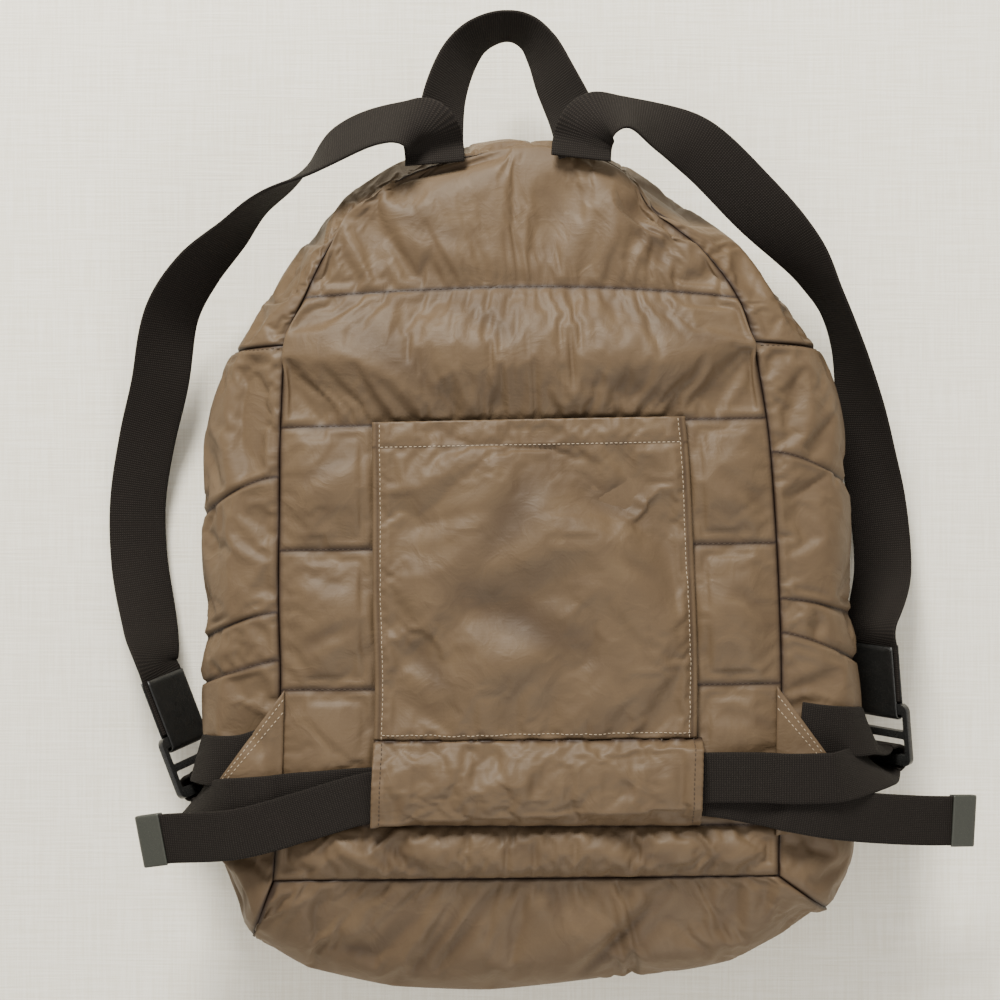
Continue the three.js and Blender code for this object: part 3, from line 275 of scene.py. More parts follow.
def panel_grid(kind, rows, u):
    """A panel between its edges: rows join the two sides and bow towards the bottom and the top edge."""
    ends = row_ends(rows)
    left = edge_points(kind, side_place("left", ends[:, 0]))
    right = edge_points(kind, side_place("right", ends[:, 1]))
    channel = np.minimum(rows.astype(int), LAST_CHANNEL - 1)
    coarse = channel * 5 + np.interp(rows - channel, COARSE_STEPS, range(6))
    bow = np.clip((coarse - CHEST * 5) / (LAST_CHANNEL * 5 - CHEST * 5), 0, 1) ** 1.3
    low = np.clip(1 - coarse / 5, 0, 1)
    share = ((u + 1) / 2)[:, None]
    grid = left[:, None] * (1 - share) + right[:, None] * share
    sides = np.array([-1.0, 1.0])
    for edge, weight in ((top_edge, bow), (bottom_edge, low)):
        corners = edge(kind, sides)
        bend = edge(kind, u) - (corners[0] + (corners[1] - corners[0]) * share)
        grid = grid + weight[:, None, None] * bend
    return grid


GRID_STEP = 2.8 * MM
back_rows = channel_rows(GRID_STEP)
back_u = spaced([-1, POCKET_SIDES[0], POCKET_SIDES[1], 1], PANEL_HALF, GRID_STEP)
back_plan = panel_grid(BACK, back_rows, back_u)
print("back panel grid:", back_plan.shape)

# %% [markdown]
# ## Filling the channels
# Real quilting is two layers of cloth sewn together along lines, with fill between them. The cloth between
# two seams is a little larger than the flat distance, so it bulges and puckers. Sculpting that by hand takes
# long, so Blender's Cloth does it: seam vertices are pinned, the rest may grow a few percent and is pushed
# out by pressure, with gravity off. The result is read back as plain vertex positions.

# %% Faces of a grid, and a seeded soft noise
def grid_faces(height, width, offset=0, flip=False):
    """Quads of a grid of vertices."""
    index = np.arange(height * width).reshape(height, width) + offset
    quads = np.stack([index[:-1, :-1], index[:-1, 1:], index[1:, 1:], index[1:, :-1]], -1).reshape(-1, 4)
    return quads[:, ::-1] if flip else quads


def soft_noise(grid, size, seed):
    """Smooth random heights from -1 to 1 over the plan of a grid, with bumps of about one size."""
    draws = np.random.default_rng(seed)
    total = np.zeros(grid.shape[:-1])
    for _ in range(14):
        turn = draws.uniform(0, 2 * np.pi)
        wave = 2 * np.pi / (size * draws.uniform(0.7, 1.5))
        direction = np.array([np.cos(turn), np.sin(turn), draws.uniform(-0.7, 0.7)])
        total += np.sin(wave * (grid @ direction) + draws.uniform(0, 2 * np.pi))
    return np.clip(total / 5, -1, 1)


# %% The cloth helper
def inflate(name, grid, pinned, pressure, growth, frames=22, bending=0.3, stiffness=12):
    """Grows and inflates a grid of cloth between its pinned vertices, and returns where it settles."""
    height, width = grid.shape[:2]
    mesh = bpy.data.meshes.new(name)
    mesh.from_pydata(grid.reshape(-1, 3).tolist(), [], grid_faces(height, width).tolist())
    cloth_object = bpy.data.objects.new(name, mesh)
    bpy.context.scene.collection.objects.link(cloth_object)
    group = cloth_object.vertex_groups.new(name="sewn")
    weights = pinned.reshape(-1)
    for level in np.unique(weights):
        if level > 0:
            group.add(np.nonzero(weights == level)[0].tolist(), float(level), "REPLACE")
    cloth = cloth_object.modifiers.new("filling", "CLOTH")
    settings = cloth.settings
    settings.quality = 6
    settings.mass = 0.2
    settings.tension_stiffness = stiffness
    settings.compression_stiffness = stiffness
    settings.shear_stiffness = stiffness * 0.3
    settings.bending_stiffness = bending
    settings.air_damping = 3.0
    settings.vertex_group_mass = "sewn"
    settings.pin_stiffness = 5.0
    settings.use_pressure = True
    settings.uniform_pressure_force = pressure
    settings.shrink_min = -growth
    settings.effector_weights.gravity = 0.0
    cloth.collision_settings.use_collision = False
    cloth.point_cache.frame_start = 1
    cloth.point_cache.frame_end = frames
    scene = bpy.context.scene
    for step in range(1, frames + 1):
        scene.frame_set(step)
    shaped = cloth_object.evaluated_get(bpy.context.evaluated_depsgraph_get())
    flat = np.empty(height * width * 3)
    shaped.data.vertices.foreach_get("co", flat)
    scene.frame_set(1)
    bpy.data.objects.remove(cloth_object)
    bpy.data.meshes.remove(mesh)
    settled = flat.reshape(height, width, 3)
    moved = np.linalg.norm(settled - grid, axis=-1)
    print(f"{name}: {height} x {width}, moved {moved.mean() / MM:.1f} mm, at most {moved.max() / MM:.1f} mm")
    return settled


# %% Finer grids
def refine(grid):
    """Puts a new row and column between every two, on a smooth curve through the neighbours."""
    def along(points):
        before = np.concatenate([points[:1], points[:-2]])
        after = np.concatenate([points[2:], points[-1:]])
        middle = (-before + 9 * points[:-1] + 9 * points[1:] - after) / 16
        fine = np.empty((2 * len(points) - 1, *points.shape[1:]))
        fine[0::2] = points
        fine[1::2] = middle
        return fine

    return np.swapaxes(along(np.swapaxes(along(grid), 0, 1)), 0, 1)


def grid_normals(grid):
    """The direction out of a grid at each of its points."""
    return unit(np.cross(np.gradient(grid, axis=1), np.gradient(grid, axis=0)))


def unit(vectors):
    """Vectors brought to a length of one."""
    return vectors / np.maximum(np.linalg.norm(vectors, axis=-1, keepdims=True), 1e-12)


def lengths_along(points):
    """How far along a path each of its points is."""
    return np.concatenate([[0], np.cumsum(np.linalg.norm(np.diff(points, axis=0), axis=-1))])


def values_at(places, run, values):
    """A path's points or directions at some lengths along it."""
    return np.stack([np.interp(places, run, values[:, k]) for k in range(3)], -1)


def neighbour_mean(heights):
    """The mean height of the four neighbours of each inner point of a grid."""
    return (heights[:-2, 1:-1] + heights[2:, 1:-1] + heights[1:-1, :-2] + heights[1:-1, 2:]) / 4


# %% Objects from points and faces
def add_mesh(name, points, faces, material, uv=None, painted_shade=None):
    """A smooth-shaded object from points and quads, turned the right way out."""
    mesh = bpy.data.meshes.new(name)
    mesh.from_pydata(points.tolist(), [], faces.tolist())
    a, b, c, d = (points[faces[:, k]] for k in range(4))
    volume = (a * (np.cross(b, c) + np.cross(c, d))).sum()
    if volume < 0:
        mesh.flip_normals()
    mesh.shade_smooth()
    if uv is not None:
        order = np.empty(len(mesh.loops), np.int32)
        mesh.loops.foreach_get("vertex_index", order)
        mesh.uv_layers.new(name="along").data.foreach_set("uv", uv[order].reshape(-1))
    # Painted shade amounts are stored on the points, for the nylon finish to darken its colour.
    if painted_shade is not None:
        shade = mesh.attributes.new("painted_shade_mask", "FLOAT", "POINT").data
        shade.foreach_set("value", painted_shade.astype(np.float32))
    mesh.materials.append(material)
    piece = bpy.data.objects.new(name, mesh)
    bpy.context.scene.collection.objects.link(piece)
    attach(piece, "root")
    return piece


def closed_sheet(name, outer, inner, material, painted_shade=None, uv=None):
    """A closed solid between two matching grids."""
    height, width = outer.shape[:2]
    count = height * width
    points = np.concatenate([outer.reshape(-1, 3), inner.reshape(-1, 3)])
    index = np.arange(count).reshape(height, width)
    ring = np.concatenate([index[0, :], index[1:, -1], index[-1, -2::-1], index[-2:0:-1, 0]])
    following = np.roll(ring, -1)
    rim = np.stack([following, ring, ring + count, following + count], -1)
    faces = np.concatenate([grid_faces(height, width), grid_faces(height, width, count, True), rim])
    # The hidden inner sheet gets full painted shade.
    if painted_shade is not None:
        painted_shade = np.concatenate([painted_shade.reshape(-1), np.ones(count)])
    if uv is not None:
        uv = np.concatenate([uv.reshape(-1, 2)] * 2)
    return add_mesh(name, points, faces, material, uv, painted_shade)


# %% The height of what lies under a point
def height_tree(*pieces):
    """A search tree over the faces of some pieces."""
    points, faces = [], []
    for piece in pieces:
        offset = len(points)
        points.extend(vertex.co[:] for vertex in piece.data.vertices)
        faces.extend([offset + index for index in polygon.vertices] for polygon in piece.data.polygons)
    return BVHTree.FromPolygons(points, faces)


def drop(tree, x, y):
    """Where a point that falls from above lands on the pieces of a tree, and which way that spot faces."""
    return tree.ray_cast(Vector((x, y, 0.5)), Vector((0, 0, -1)))[:2]


def ground(trees, x, y):
    """The highest of several trees under a point, or the floor."""
    spots = [drop(tree, x, y)[0] for tree in trees]
    return max([spot.z for spot in spots if spot is not None], default=0.0)


# %% [markdown]
# ## Finishes
# The shell is a taupe nylon with a soft sheen. Its colour shifts a little from fold to fold, its surface has
# a very fine weave and faint crinkles, and shade is painted into its colour along the seams and down in the
# large folds.
# Effects that several finishes share are built once as node groups, so that each finish can use them with
# its own numbers.

# %% Small helpers for shader nodes
def new_group(name, inputs, outputs):
    group = bpy.data.node_groups.new(name, "ShaderNodeTree")
    for label, kind, value in inputs:
        socket = group.interface.new_socket(label, in_out="INPUT", socket_type=kind)
        if value is not None:
            socket.default_value = value
    for label, kind in outputs:
        group.interface.new_socket(label, in_out="OUTPUT", socket_type=kind)
    return group, group.nodes.new("NodeGroupInput").outputs, group.nodes.new("NodeGroupOutput").inputs


def math_node(tree, operation, *values, clamp=False):
    node = tree.nodes.new("ShaderNodeMath")
    node.operation = operation
    node.use_clamp = clamp
    for socket, value in zip(node.inputs, values):
        if isinstance(value, (int, float)):
            socket.default_value = value
        else:
            tree.links.new(value, socket)
    return node.outputs[0]


def noise_node(tree, vector, scale, detail, distortion):
    node = tree.nodes.new("ShaderNodeTexNoise")
    node.inputs["Detail"].default_value = detail
    node.inputs["Distortion"].default_value = distortion
    tree.links.new(vector, node.inputs["Vector"])
    if isinstance(scale, (int, float)):
        node.inputs["Scale"].default_value = scale
    else:
        tree.links.new(scale, node.inputs["Scale"])
    return node.outputs["Fac"]


# %% Crinkles: soft creases of handled cloth
VECTOR, NUMBER = "NodeSocketVector", "NodeSocketFloat"
CRINKLES, crinkles_in, crinkles_out = new_group(
    "crinkles",
    [("Vector", VECTOR, None), ("Size", NUMBER, 60.0), ("Fine", NUMBER, 0.4)],
    [("Height", NUMBER), ("Patches", NUMBER)])
large = noise_node(CRINKLES, crinkles_in["Vector"], crinkles_in["Size"], 3.0, 1.2)
small_size = math_node(CRINKLES, "MULTIPLY", crinkles_in["Size"], 4.3)
small = noise_node(CRINKLES, crinkles_in["Vector"], small_size, 2.0, 0.6)
ridge = math_node(CRINKLES, "ABSOLUTE", math_node(CRINKLES, "SUBTRACT", large, 0.5))
fine = math_node(CRINKLES, "MULTIPLY", small, crinkles_in["Fine"])
crinkle_height = math_node(CRINKLES, "SUBTRACT", fine, math_node(CRINKLES, "MULTIPLY", ridge, 2.0))
CRINKLES.links.new(crinkle_height, crinkles_out["Height"])
CRINKLES.links.new(large, crinkles_out["Patches"])

# %% Weave: warp and weft threads on the coordinates that come in
WEAVE, weave_in, weave_out = new_group(
    "weave",
    [("Vector", VECTOR, None), ("Across", NUMBER, 1.0), ("Along", NUMBER, 1.0), ("Slant", NUMBER, 0.0)],
    [("Height", NUMBER), ("Thread", NUMBER)])
split = WEAVE.nodes.new("ShaderNodeSeparateXYZ")
WEAVE.links.new(weave_in["Vector"], split.inputs[0])
across_phase = math_node(WEAVE, "MULTIPLY", split.outputs[0], weave_in["Across"])
warp = math_node(WEAVE, "ABSOLUTE", math_node(WEAVE, "SINE", across_phase))
slanted = math_node(WEAVE, "MULTIPLY", warp, weave_in["Slant"])
along_phase = math_node(WEAVE, "MULTIPLY_ADD", split.outputs[1], weave_in["Along"], slanted)
thread = math_node(WEAVE, "MULTIPLY_ADD", math_node(WEAVE, "SINE", along_phase), 0.5, 0.5)
WEAVE.links.new(math_node(WEAVE, "MULTIPLY", thread, warp), weave_out["Height"])
WEAVE.links.new(thread, weave_out["Thread"])

# %% Dust: pale lint that gathers in small specks
DUST, dust_in, dust_out = new_group(
    "dust", [("Vector", VECTOR, None), ("Size", NUMBER, 900.0), ("Amount", NUMBER, 0.3)], [("Mask", NUMBER)])
specks = noise_node(DUST, dust_in["Vector"], dust_in["Size"], 2.0, 0.3)
cover = noise_node(DUST, dust_in["Vector"], 30.0, 2.0, 0.0)
sharp = math_node(DUST, "MULTIPLY", math_node(DUST, "SUBTRACT", specks, 0.6, clamp=True), 6.0, clamp=True)
dust_mask = math_node(DUST, "MULTIPLY", math_node(DUST, "MULTIPLY", sharp, cover), dust_in["Amount"])
DUST.links.new(dust_mask, dust_out["Mask"])
print("node groups:", [group.name for group in bpy.data.node_groups])


# %% [markdown]
# A finish is a Principled shader with noise on its colour and roughness and two bumps: one for the weave,
# one for the crinkles. Object coordinates measure metres, so the noise sizes are large numbers.

# %% Helpers for finishes
def place_group(tree, group, vector, **values):
    node = tree.nodes.new("ShaderNodeGroup")
    node.node_tree = group
    for label, value in values.items():
        node.inputs[label].default_value = value
    tree.links.new(vector, node.inputs["Vector"])
    return node.outputs


def bump(tree, height, distance, strength, below=None):
    node = tree.nodes.new("ShaderNodeBump")
    node.inputs["Distance"].default_value = distance
    node.inputs["Strength"].default_value = strength
    tree.links.new(height, node.inputs["Height"])
    if below is not None:
        tree.links.new(below, node.inputs["Normal"])
    return node.outputs[0]


def two_colours(tree, factor, first, second):
    mix = tree.nodes.new("ShaderNodeMix")
    mix.data_type = "RGBA"
    tree.links.new(factor, mix.inputs["Factor"])
    for label, colour in (("A", first), ("B", second)):
        socket = [entry for entry in mix.inputs if entry.name == label and entry.type == "RGBA"][0]
        if isinstance(colour, tuple):
            socket.default_value = (*colour, 1)
        else:
            tree.links.new(colour, socket)
    return [entry for entry in mix.outputs if entry.type == "RGBA"][0]


def new_finish(name, roughness=0.5, specular=0.5):
    material = bpy.data.materials.new(name)
    material.use_nodes = True
    shader = material.node_tree.nodes["Principled BSDF"].inputs
    shader["Roughness"].default_value = roughness
    shader["Specular IOR Level"].default_value = specular
    return material, material.node_tree, shader


def coordinates(tree, kind="Object"):
    return tree.nodes.new("ShaderNodeTexCoord").outputs[kind]


# %% Taupe nylon
def nylon_finish(name, light, dark, seam, roughness):
    material, tree, shader = new_finish(name, roughness, 0.27)
    vector = coordinates(tree)
    crinkles = place_group(tree, CRINKLES, vector, Size=58.0, Fine=0.3)
    weave = place_group(tree, WEAVE, vector, Across=9000.0, Along=9000.0)
    # Painted shade: where the mesh's shade attribute is high, along seams and down in large folds, the cloth
    # is mixed towards the seam colour, a dark brown that stands in for shade.
    painted_shade = tree.nodes.new("ShaderNodeAttribute")
    painted_shade.attribute_name = "painted_shade_mask"
    shade = math_node(tree, "MULTIPLY_ADD", crinkles["Patches"], 1.6, -0.3, clamp=True)
    cloth = two_colours(tree, shade, light, dark)
    tree.links.new(two_colours(tree, painted_shade.outputs["Fac"], cloth, seam), shader["Base Color"])
    gloss = math_node(tree, "MULTIPLY_ADD", crinkles["Patches"], 0.18, roughness - 0.09)
    tree.links.new(gloss, shader["Roughness"])
    fine_bump = bump(tree, weave["Height"], 0.00006, 0.35)
    tree.links.new(bump(tree, crinkles["Height"], 0.0009, 0.42, fine_bump), shader["Normal"])
    return material


NYLON_LIGHT = (0.112, 0.073, 0.039)
NYLON_DARK = (0.084, 0.053, 0.028)
# Painted shade: a dark brown for seams and folds, not a colour of the cloth itself.
NYLON_PAINTED_SHADE = (0.018, 0.009, 0.005)
nylon = nylon_finish("taupe_nylon", NYLON_LIGHT, NYLON_DARK, NYLON_PAINTED_SHADE, 0.57)


# %% Black webbing, patch skin, moulded plastic, end tabs, thread and zip
def webbing_finish(name, dark, light, lint):
    material, tree, shader = new_finish(name, 0.85, 0.14)
    weave = place_group(tree, WEAVE, coordinates(tree, "UV"), Across=88.0, Along=5200.0, Slant=2.2)
    dust = place_group(tree, DUST, coordinates(tree), Size=1500.0, Amount=0.3)
    woven = two_colours(tree, weave["Height"], dark, light)
    tree.links.new(two_colours(tree, dust["Mask"], woven, lint), shader["Base Color"])
    tree.links.new(bump(tree, weave["Height"], 0.00035, 0.8), shader["Normal"])
    return material


def skin_finish(name, light, dark, roughness, grain, depth):
    """Coated skin or moulded plastic: a fine grain, and gloss that is rubbed dull in patches."""
    material, tree, shader = new_finish(name, roughness, 0.5)
    vector = coordinates(tree)
    crinkles = place_group(tree, CRINKLES, vector, Size=grain, Fine=0.8)
    dust = place_group(tree, DUST, vector, Size=1800.0, Amount=0.35)
    base = two_colours(tree, crinkles["Patches"], light, dark)
    tree.links.new(two_colours(tree, dust["Mask"], base, (0.2, 0.19, 0.17)), shader["Base Color"])
    gloss = math_node(tree, "MULTIPLY_ADD", crinkles["Patches"], 0.3, roughness - 0.15)
    tree.links.new(gloss, shader["Roughness"])
    tree.links.new(bump(tree, crinkles["Height"], depth, 0.5), shader["Normal"])
    return material


def thread_finish(name, colour):
    material, tree, shader = new_finish(name, 0.6, 0.3)
    fibres = noise_node(tree, coordinates(tree), 5200.0, 2.0, 0.4)
    shaded = tuple(0.6 * value for value in colour)
    tree.links.new(two_colours(tree, fibres, colour, shaded), shader["Base Color"])
    tree.links.new(bump(tree, fibres, 0.00015, 0.6), shader["Normal"])
    return material


webbing = webbing_finish("black_webbing", (0.007, 0.0055, 0.0045), (0.022, 0.0175, 0.014), (0.08, 0.07, 0.06))
patch_skin = skin_finish("patch_skin", (0.006, 0.006, 0.006), (0.011, 0.011, 0.01), 0.38, 420.0, 0.0002)
slider_plastic = skin_finish(
    "slider_plastic", (0.011, 0.011, 0.011), (0.018, 0.018, 0.017), 0.3, 900.0, 0.00008)
tab_skin = skin_finish("tab_skin", (0.034, 0.036, 0.027), (0.025, 0.026, 0.02), 0.45, 500.0, 0.0002)
zip_cloth = skin_finish("zip_cloth", (0.09, 0.066, 0.044), (0.06, 0.044, 0.03), 0.75, 2600.0, 0.0003)
zip_coil = skin_finish("zip_coil", (0.03, 0.024, 0.018), (0.045, 0.036, 0.026), 0.35, 900.0, 0.0001)
cream_thread = thread_finish("cream_thread", (0.42, 0.33, 0.23))
# The seam thread's brown is darker than the taupe cloth: its own colour with painted seam shade added.
taupe_thread_painted_shade = thread_finish("taupe_thread_painted_shade", (0.06, 0.039, 0.024))

# %% [markdown]
# ## Folds
# The simulation makes the small puckers. The few large folds of this very bag are listed one by one: each is
# a line on the floor plan with a soft valley along it and a ridge beside it. Proportional editing along an
# edge loop would do the same in the viewport.

# %% Large folds
# Rows: from x, y to x, y, then the width and the depth of the valley, all in mm; a negative depth is a ridge.
BACK_FOLDS = [
    (-90, 89, -35, 45, 9, 2.2), (-35, 97, -5, 79, 7, 1.8), (-30, 62, -15, 45, 5, 1.5),
    (40, 100, 96, 74, 8, 1.6), (20, 62, 66, 50, 6, 1.4), (-62, 128, 10, 112, 8, -1.8),
    (-75, 150, -20, 118, 7, 1.6), (45, 150, 70, 115, 7, 1.8), (-119, 7, -90, 22, 4, 1.4),
    (-114, -74, -90, -62, 4, 1.4), (-112, -36, -92, -44, 4, 1.2), (96, 14, 118, -4, 4, 1.3),
    (94, -40, 118, -56, 4, 1.3), (94, -104, 112, -112, 4, 1.2), (-92, -163, -61, -193, 4, 2.6),
    (-84, -161, -51, -190, 4, 2.0), (-20, -166, 8, -180, 6, 1.6), (40, -165, 75, -186, 5, 1.8),
    (100, -168, 84, -188, 5, 1.6),
]
POCKET_FOLDS = [
    (4, 15, -25, -30, 12, 3.4), (-35, -45, 34, -79, 10, 3.2), (-20, -35, 19, -20, 9, -2.4),
    (-62, -15, -25, -5, 4, 1.5), (44, -27, 64, -40, 4, 1.5), (-60, -70, -40, -96, 7, 2.2),
    (20, 8, 62, -12, 8, 2.2),
]
BOTTOM_FOLDS = [
    (-51, -196, -79, -227, 5, 5.0), (-79, -227, -97, -229, 5, 4.0), (-26, -190, -56, -238, 3.6, 6.0),
    (-16, -191, -45, -238, 3.6, 4.4), (75, -190, 28, -240, 4, 6.0), (85, -192, 42, -238, 4.5, 3.2),
    (105, -190, 98, -217, 4, 4.4), (117, -190, 119, -213, 4, 3.8), (-108, -183, -108, -222, 4, 4.0),
    (-124, -187, -133, -208, 4, 3.4), (9, -190, 14, -210, 4, 3.4), (50, -196, 10, -228, 9, -3.0),
]
SLEEVE_FOLDS = [
    (-30, -140, -10, -124, 4, 1.8), (-58, -142, -50, -134, 4, 1.6), (7, -132, -1, -149, 4, 1.6),
    (48, -122, 62, -132, 5, 1.6), (30, -146, 52, -140, 5, 1.4), (-40, -120, -26, -128, 4, 1.2),
]


def fold_heights(points, folds):
    """The heights of all folds at some points."""
    total = np.zeros(points.shape[:-1])
    for x0, y0, x1, y1, width, depth in folds:
        start, end = np.array([x0, y0]) * MM, np.array([x1, y1]) * MM
        run = end - start
        length = np.linalg.norm(run)
        offset = points[..., :2] - start
        f = np.clip((offset @ run) / length**2, 0, 1)
        side = (offset[..., 0] * run[1] - offset[..., 1] * run[0]) / length
        beyond = np.linalg.norm(offset - f[..., None] * run, axis=-1)
        fade = np.exp(-np.maximum(0, beyond**2 - side**2) / (1.5 * width * MM) ** 2)
        taper = fade * (0.35 + 0.65 * np.sin(np.pi * f))
        valley_here = np.exp(-((side / (width * MM)) ** 2))
        ridge_here = np.exp(-(((side - 2.1 * width * MM) / (1.3 * width * MM)) ** 2))
        total += depth * MM * taper * (0.6 * ridge_here - valley_here)
    return total


def fold_shade(points, folds):
    """Painted shade down in the folds: how much darker the cloth's colour is made there, from 0 to a half."""
    return np.clip(-fold_heights(points, folds) / (7 * MM), 0, 0.5)


# %% [markdown]
# ## The back panel
# The six channels are inflated in one go. Under the pocket and the sleeve the fill is pressed, so those
# vertices are pinned low. The cloth starts a little raised, which tells the pressure which way is out.

# %% Inflate the back panel
def swell(f):
    return np.clip(4 * f * (1 - f), 0, 1) ** 0.8


def crowned(grid, rows, u):
    """The gentle dome of the whole panel, added to a grid on the back seam's level."""
    inward = np.sqrt(np.clip(np.sin(np.pi * rows / LAST_CHANNEL), 0, 1))
    domed = grid.copy()
    domed[..., 2] += PANEL_CROWN * inward[:, None] * (1 - u**2)[None, :]
    return domed


START_RISE, ROUND_RISE = 0.8, 0.9
CHANNEL_FILL = np.array([7.0, 4.0, 8.0, 8.5, 9.5, 9.0]) * MM
PRESSED = 0.35
back_channel = np.minimum(back_rows.astype(int), LAST_CHANNEL - 1)
back_f = back_rows - back_channel
on_seam = np.isclose(back_f, 0) | np.isclose(back_f, 1)
side_fall = np.sqrt(np.clip(1 - np.abs(back_u) ** 8, 0, 1))
pocket_span = (back_u >= POCKET_SIDES[0] - 1e-6) & (back_u <= POCKET_SIDES[1] + 1e-6)
pocket_height = ((back_rows >= 1) & (back_rows <= CHEST))[:, None]
under_pocket = pocket_height & pocket_span[None, :]
back_fill = (CHANNEL_FILL[back_channel] * swell(back_f))[:, None] * side_fall[None, :]
beside = np.where(back_u < 0, (back_u + 1) / (POCKET_SIDES[0] + 1), (1 - back_u) / (1 - POCKET_SIDES[1]))
beside_pocket = pocket_height & ~pocket_span[None, :]
beside = np.clip(beside, 0, 1)
pillow = 0.1 + PRESSED * beside + 0.75 * np.sin(np.pi * beside)
back_fill = np.where(beside_pocket, back_fill * pillow[None, :], back_fill)
back_fill = np.where(under_pocket, back_fill * PRESSED, back_fill)
back_base = crowned(back_plan, back_rows, back_u)
back_start = back_base.copy()
back_start[..., 2] += back_fill * START_RISE

back_sewn = np.zeros(back_plan.shape[:2])
back_sewn[on_seam] = 1
back_sewn[:, [0, -1]] = 1
back_sewn[under_pocket] = 1
back_cloth = inflate("back_panel_cloth", back_start, back_sewn, pressure=3.0, growth=0.06)

# The small patches are stiff with fill, so they keep more of their round start shape.
PATCH_STIFFNESS = 0.5
round_shape = back_base.copy()
round_shape[..., 2] += back_fill * ROUND_RISE
keep = np.where(beside_pocket & (back_sewn == 0), PATCH_STIFFNESS, 0)[..., None]
back_cloth = back_cloth * (1 - keep) + round_shape * keep


# %% Painted shade along seams
def seam_distance(grid, seam_rows):
    """How far each row of a grid is from the nearest seam, along the middle column."""
    down = lengths_along(grid[:, grid.shape[1] // 2])
    return np.abs(down[:, None] - down[seam_rows][None]).min(-1)[:, None]


def seam_mask(grid, seam_rows, seam_columns, reach):
    """How close each point of a grid is to a row or column that is sewn, from 0 to 1."""
    height, width = grid.shape[:2]
    down, side = lengths_along(grid[:, width // 2]), lengths_along(grid[height // 2])
    mask = np.zeros((height, width))
    for row in seam_rows:
        mask = np.maximum(mask, np.exp(-((down - down[row]) / reach) ** 2)[:, None])
    for column in seam_columns:
        mask = np.maximum(mask, np.exp(-((side - side[column]) / reach) ** 2)[None, :])
    return mask


PAINTED_SHADE_REACH = 1.3 * MM
FOLD_CLEARANCE = 7 * MM
LINING_DEPTH, CLOTH_THICKNESS = 3 * MM, 1 * MM
back_fine = refine(back_cloth)
back_seams = 2 * np.nonzero(on_seam)[0]
back_reach = np.clip(seam_distance(refine(back_base), back_seams) / FOLD_CLEARANCE, 0, 1)
back_fine[..., 2] += fold_heights(back_fine, BACK_FOLDS) * back_reach
back_lining = refine(back_base)
back_lining[..., 2] = np.minimum(back_lining[..., 2] - LINING_DEPTH, back_fine[..., 2] - CLOTH_THICKNESS)
# Painted shade: the colour darkens along each seam, at the panel's two sides and down in the large folds.
back_painted_shade = seam_mask(back_fine, back_seams, [0, back_fine.shape[1] - 1], PAINTED_SHADE_REACH)
back_painted_shade = np.maximum(back_painted_shade, fold_shade(back_fine, BACK_FOLDS))
back_piece = closed_sheet("back_quilt", back_fine, back_lining, nylon, back_painted_shade)
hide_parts("back_panel")
print("back panel faces:", len(back_piece.data.polygons))

# %% [markdown]
# ## Side, top and bottom panels
# The gusset is the strip of padded cloth that goes round the side of a bag, from the back panel to the front
# panel. Its section here is two quarter ellipses: over the belly, and under it to the front seam.
# Its own stitch lines slant: they leave the back seam higher than they reach the widest line.
# So the grid's rows slant with them, and a seam is again one row of pinned vertices.

# %% The section of a side panel
def section(back, out, front, s):
    """Points on a side panel's section: s runs from 0 at the back seam over 0.5 to 1 at the front seam."""
    outward = unit((out - back) * [1, 1, 0])
    s = s[..., None]
    upper = s <= 0.5
    angle = np.where(upper, s * np.pi, (s - 0.5) * np.pi)
    start = np.where(upper, back + outward * SEAM_GAP, out)
    end = np.where(upper, out, front + outward * SEAM_GAP)
    level = np.where(upper, np.sin(angle), 1 - np.cos(angle))
    fall = np.where(upper, 1 - np.cos(angle), np.sin(angle))
    return start + (end - start) * np.concatenate([level, level, fall], -1)


def side_points(place, s):
    """Points of the body's side at places round it."""
    return section(edge_points(BACK, place), edge_points(WIDEST, place), edge_points(FRONT, place), s)


def bottom_points(u, s):
    """Points of the bottom panel, for u from -1 at the left corner to 1 at the right one."""
    return section(bottom_edge(BACK, u), bottom_edge(WIDEST, u), bottom_edge(FRONT, u), s)


# %% Strips that are filled between their stitch lines
def outward_normals(grid):
    normal = grid_normals(grid)
    middle = grid.reshape(-1, 3).mean(0)
    return -normal if (normal * (grid - middle)).sum() < 0 else normal


def take_in(cloth, base, normal, inset, deepest):
    """Moves cloth in by an inset, but not below its deepest, and tells how far out it then is."""
    out = ((cloth - base) * normal).sum(-1)
    wanted = np.maximum(out - inset, -deepest)
    return cloth + normal * (wanted - out)[..., None], wanted


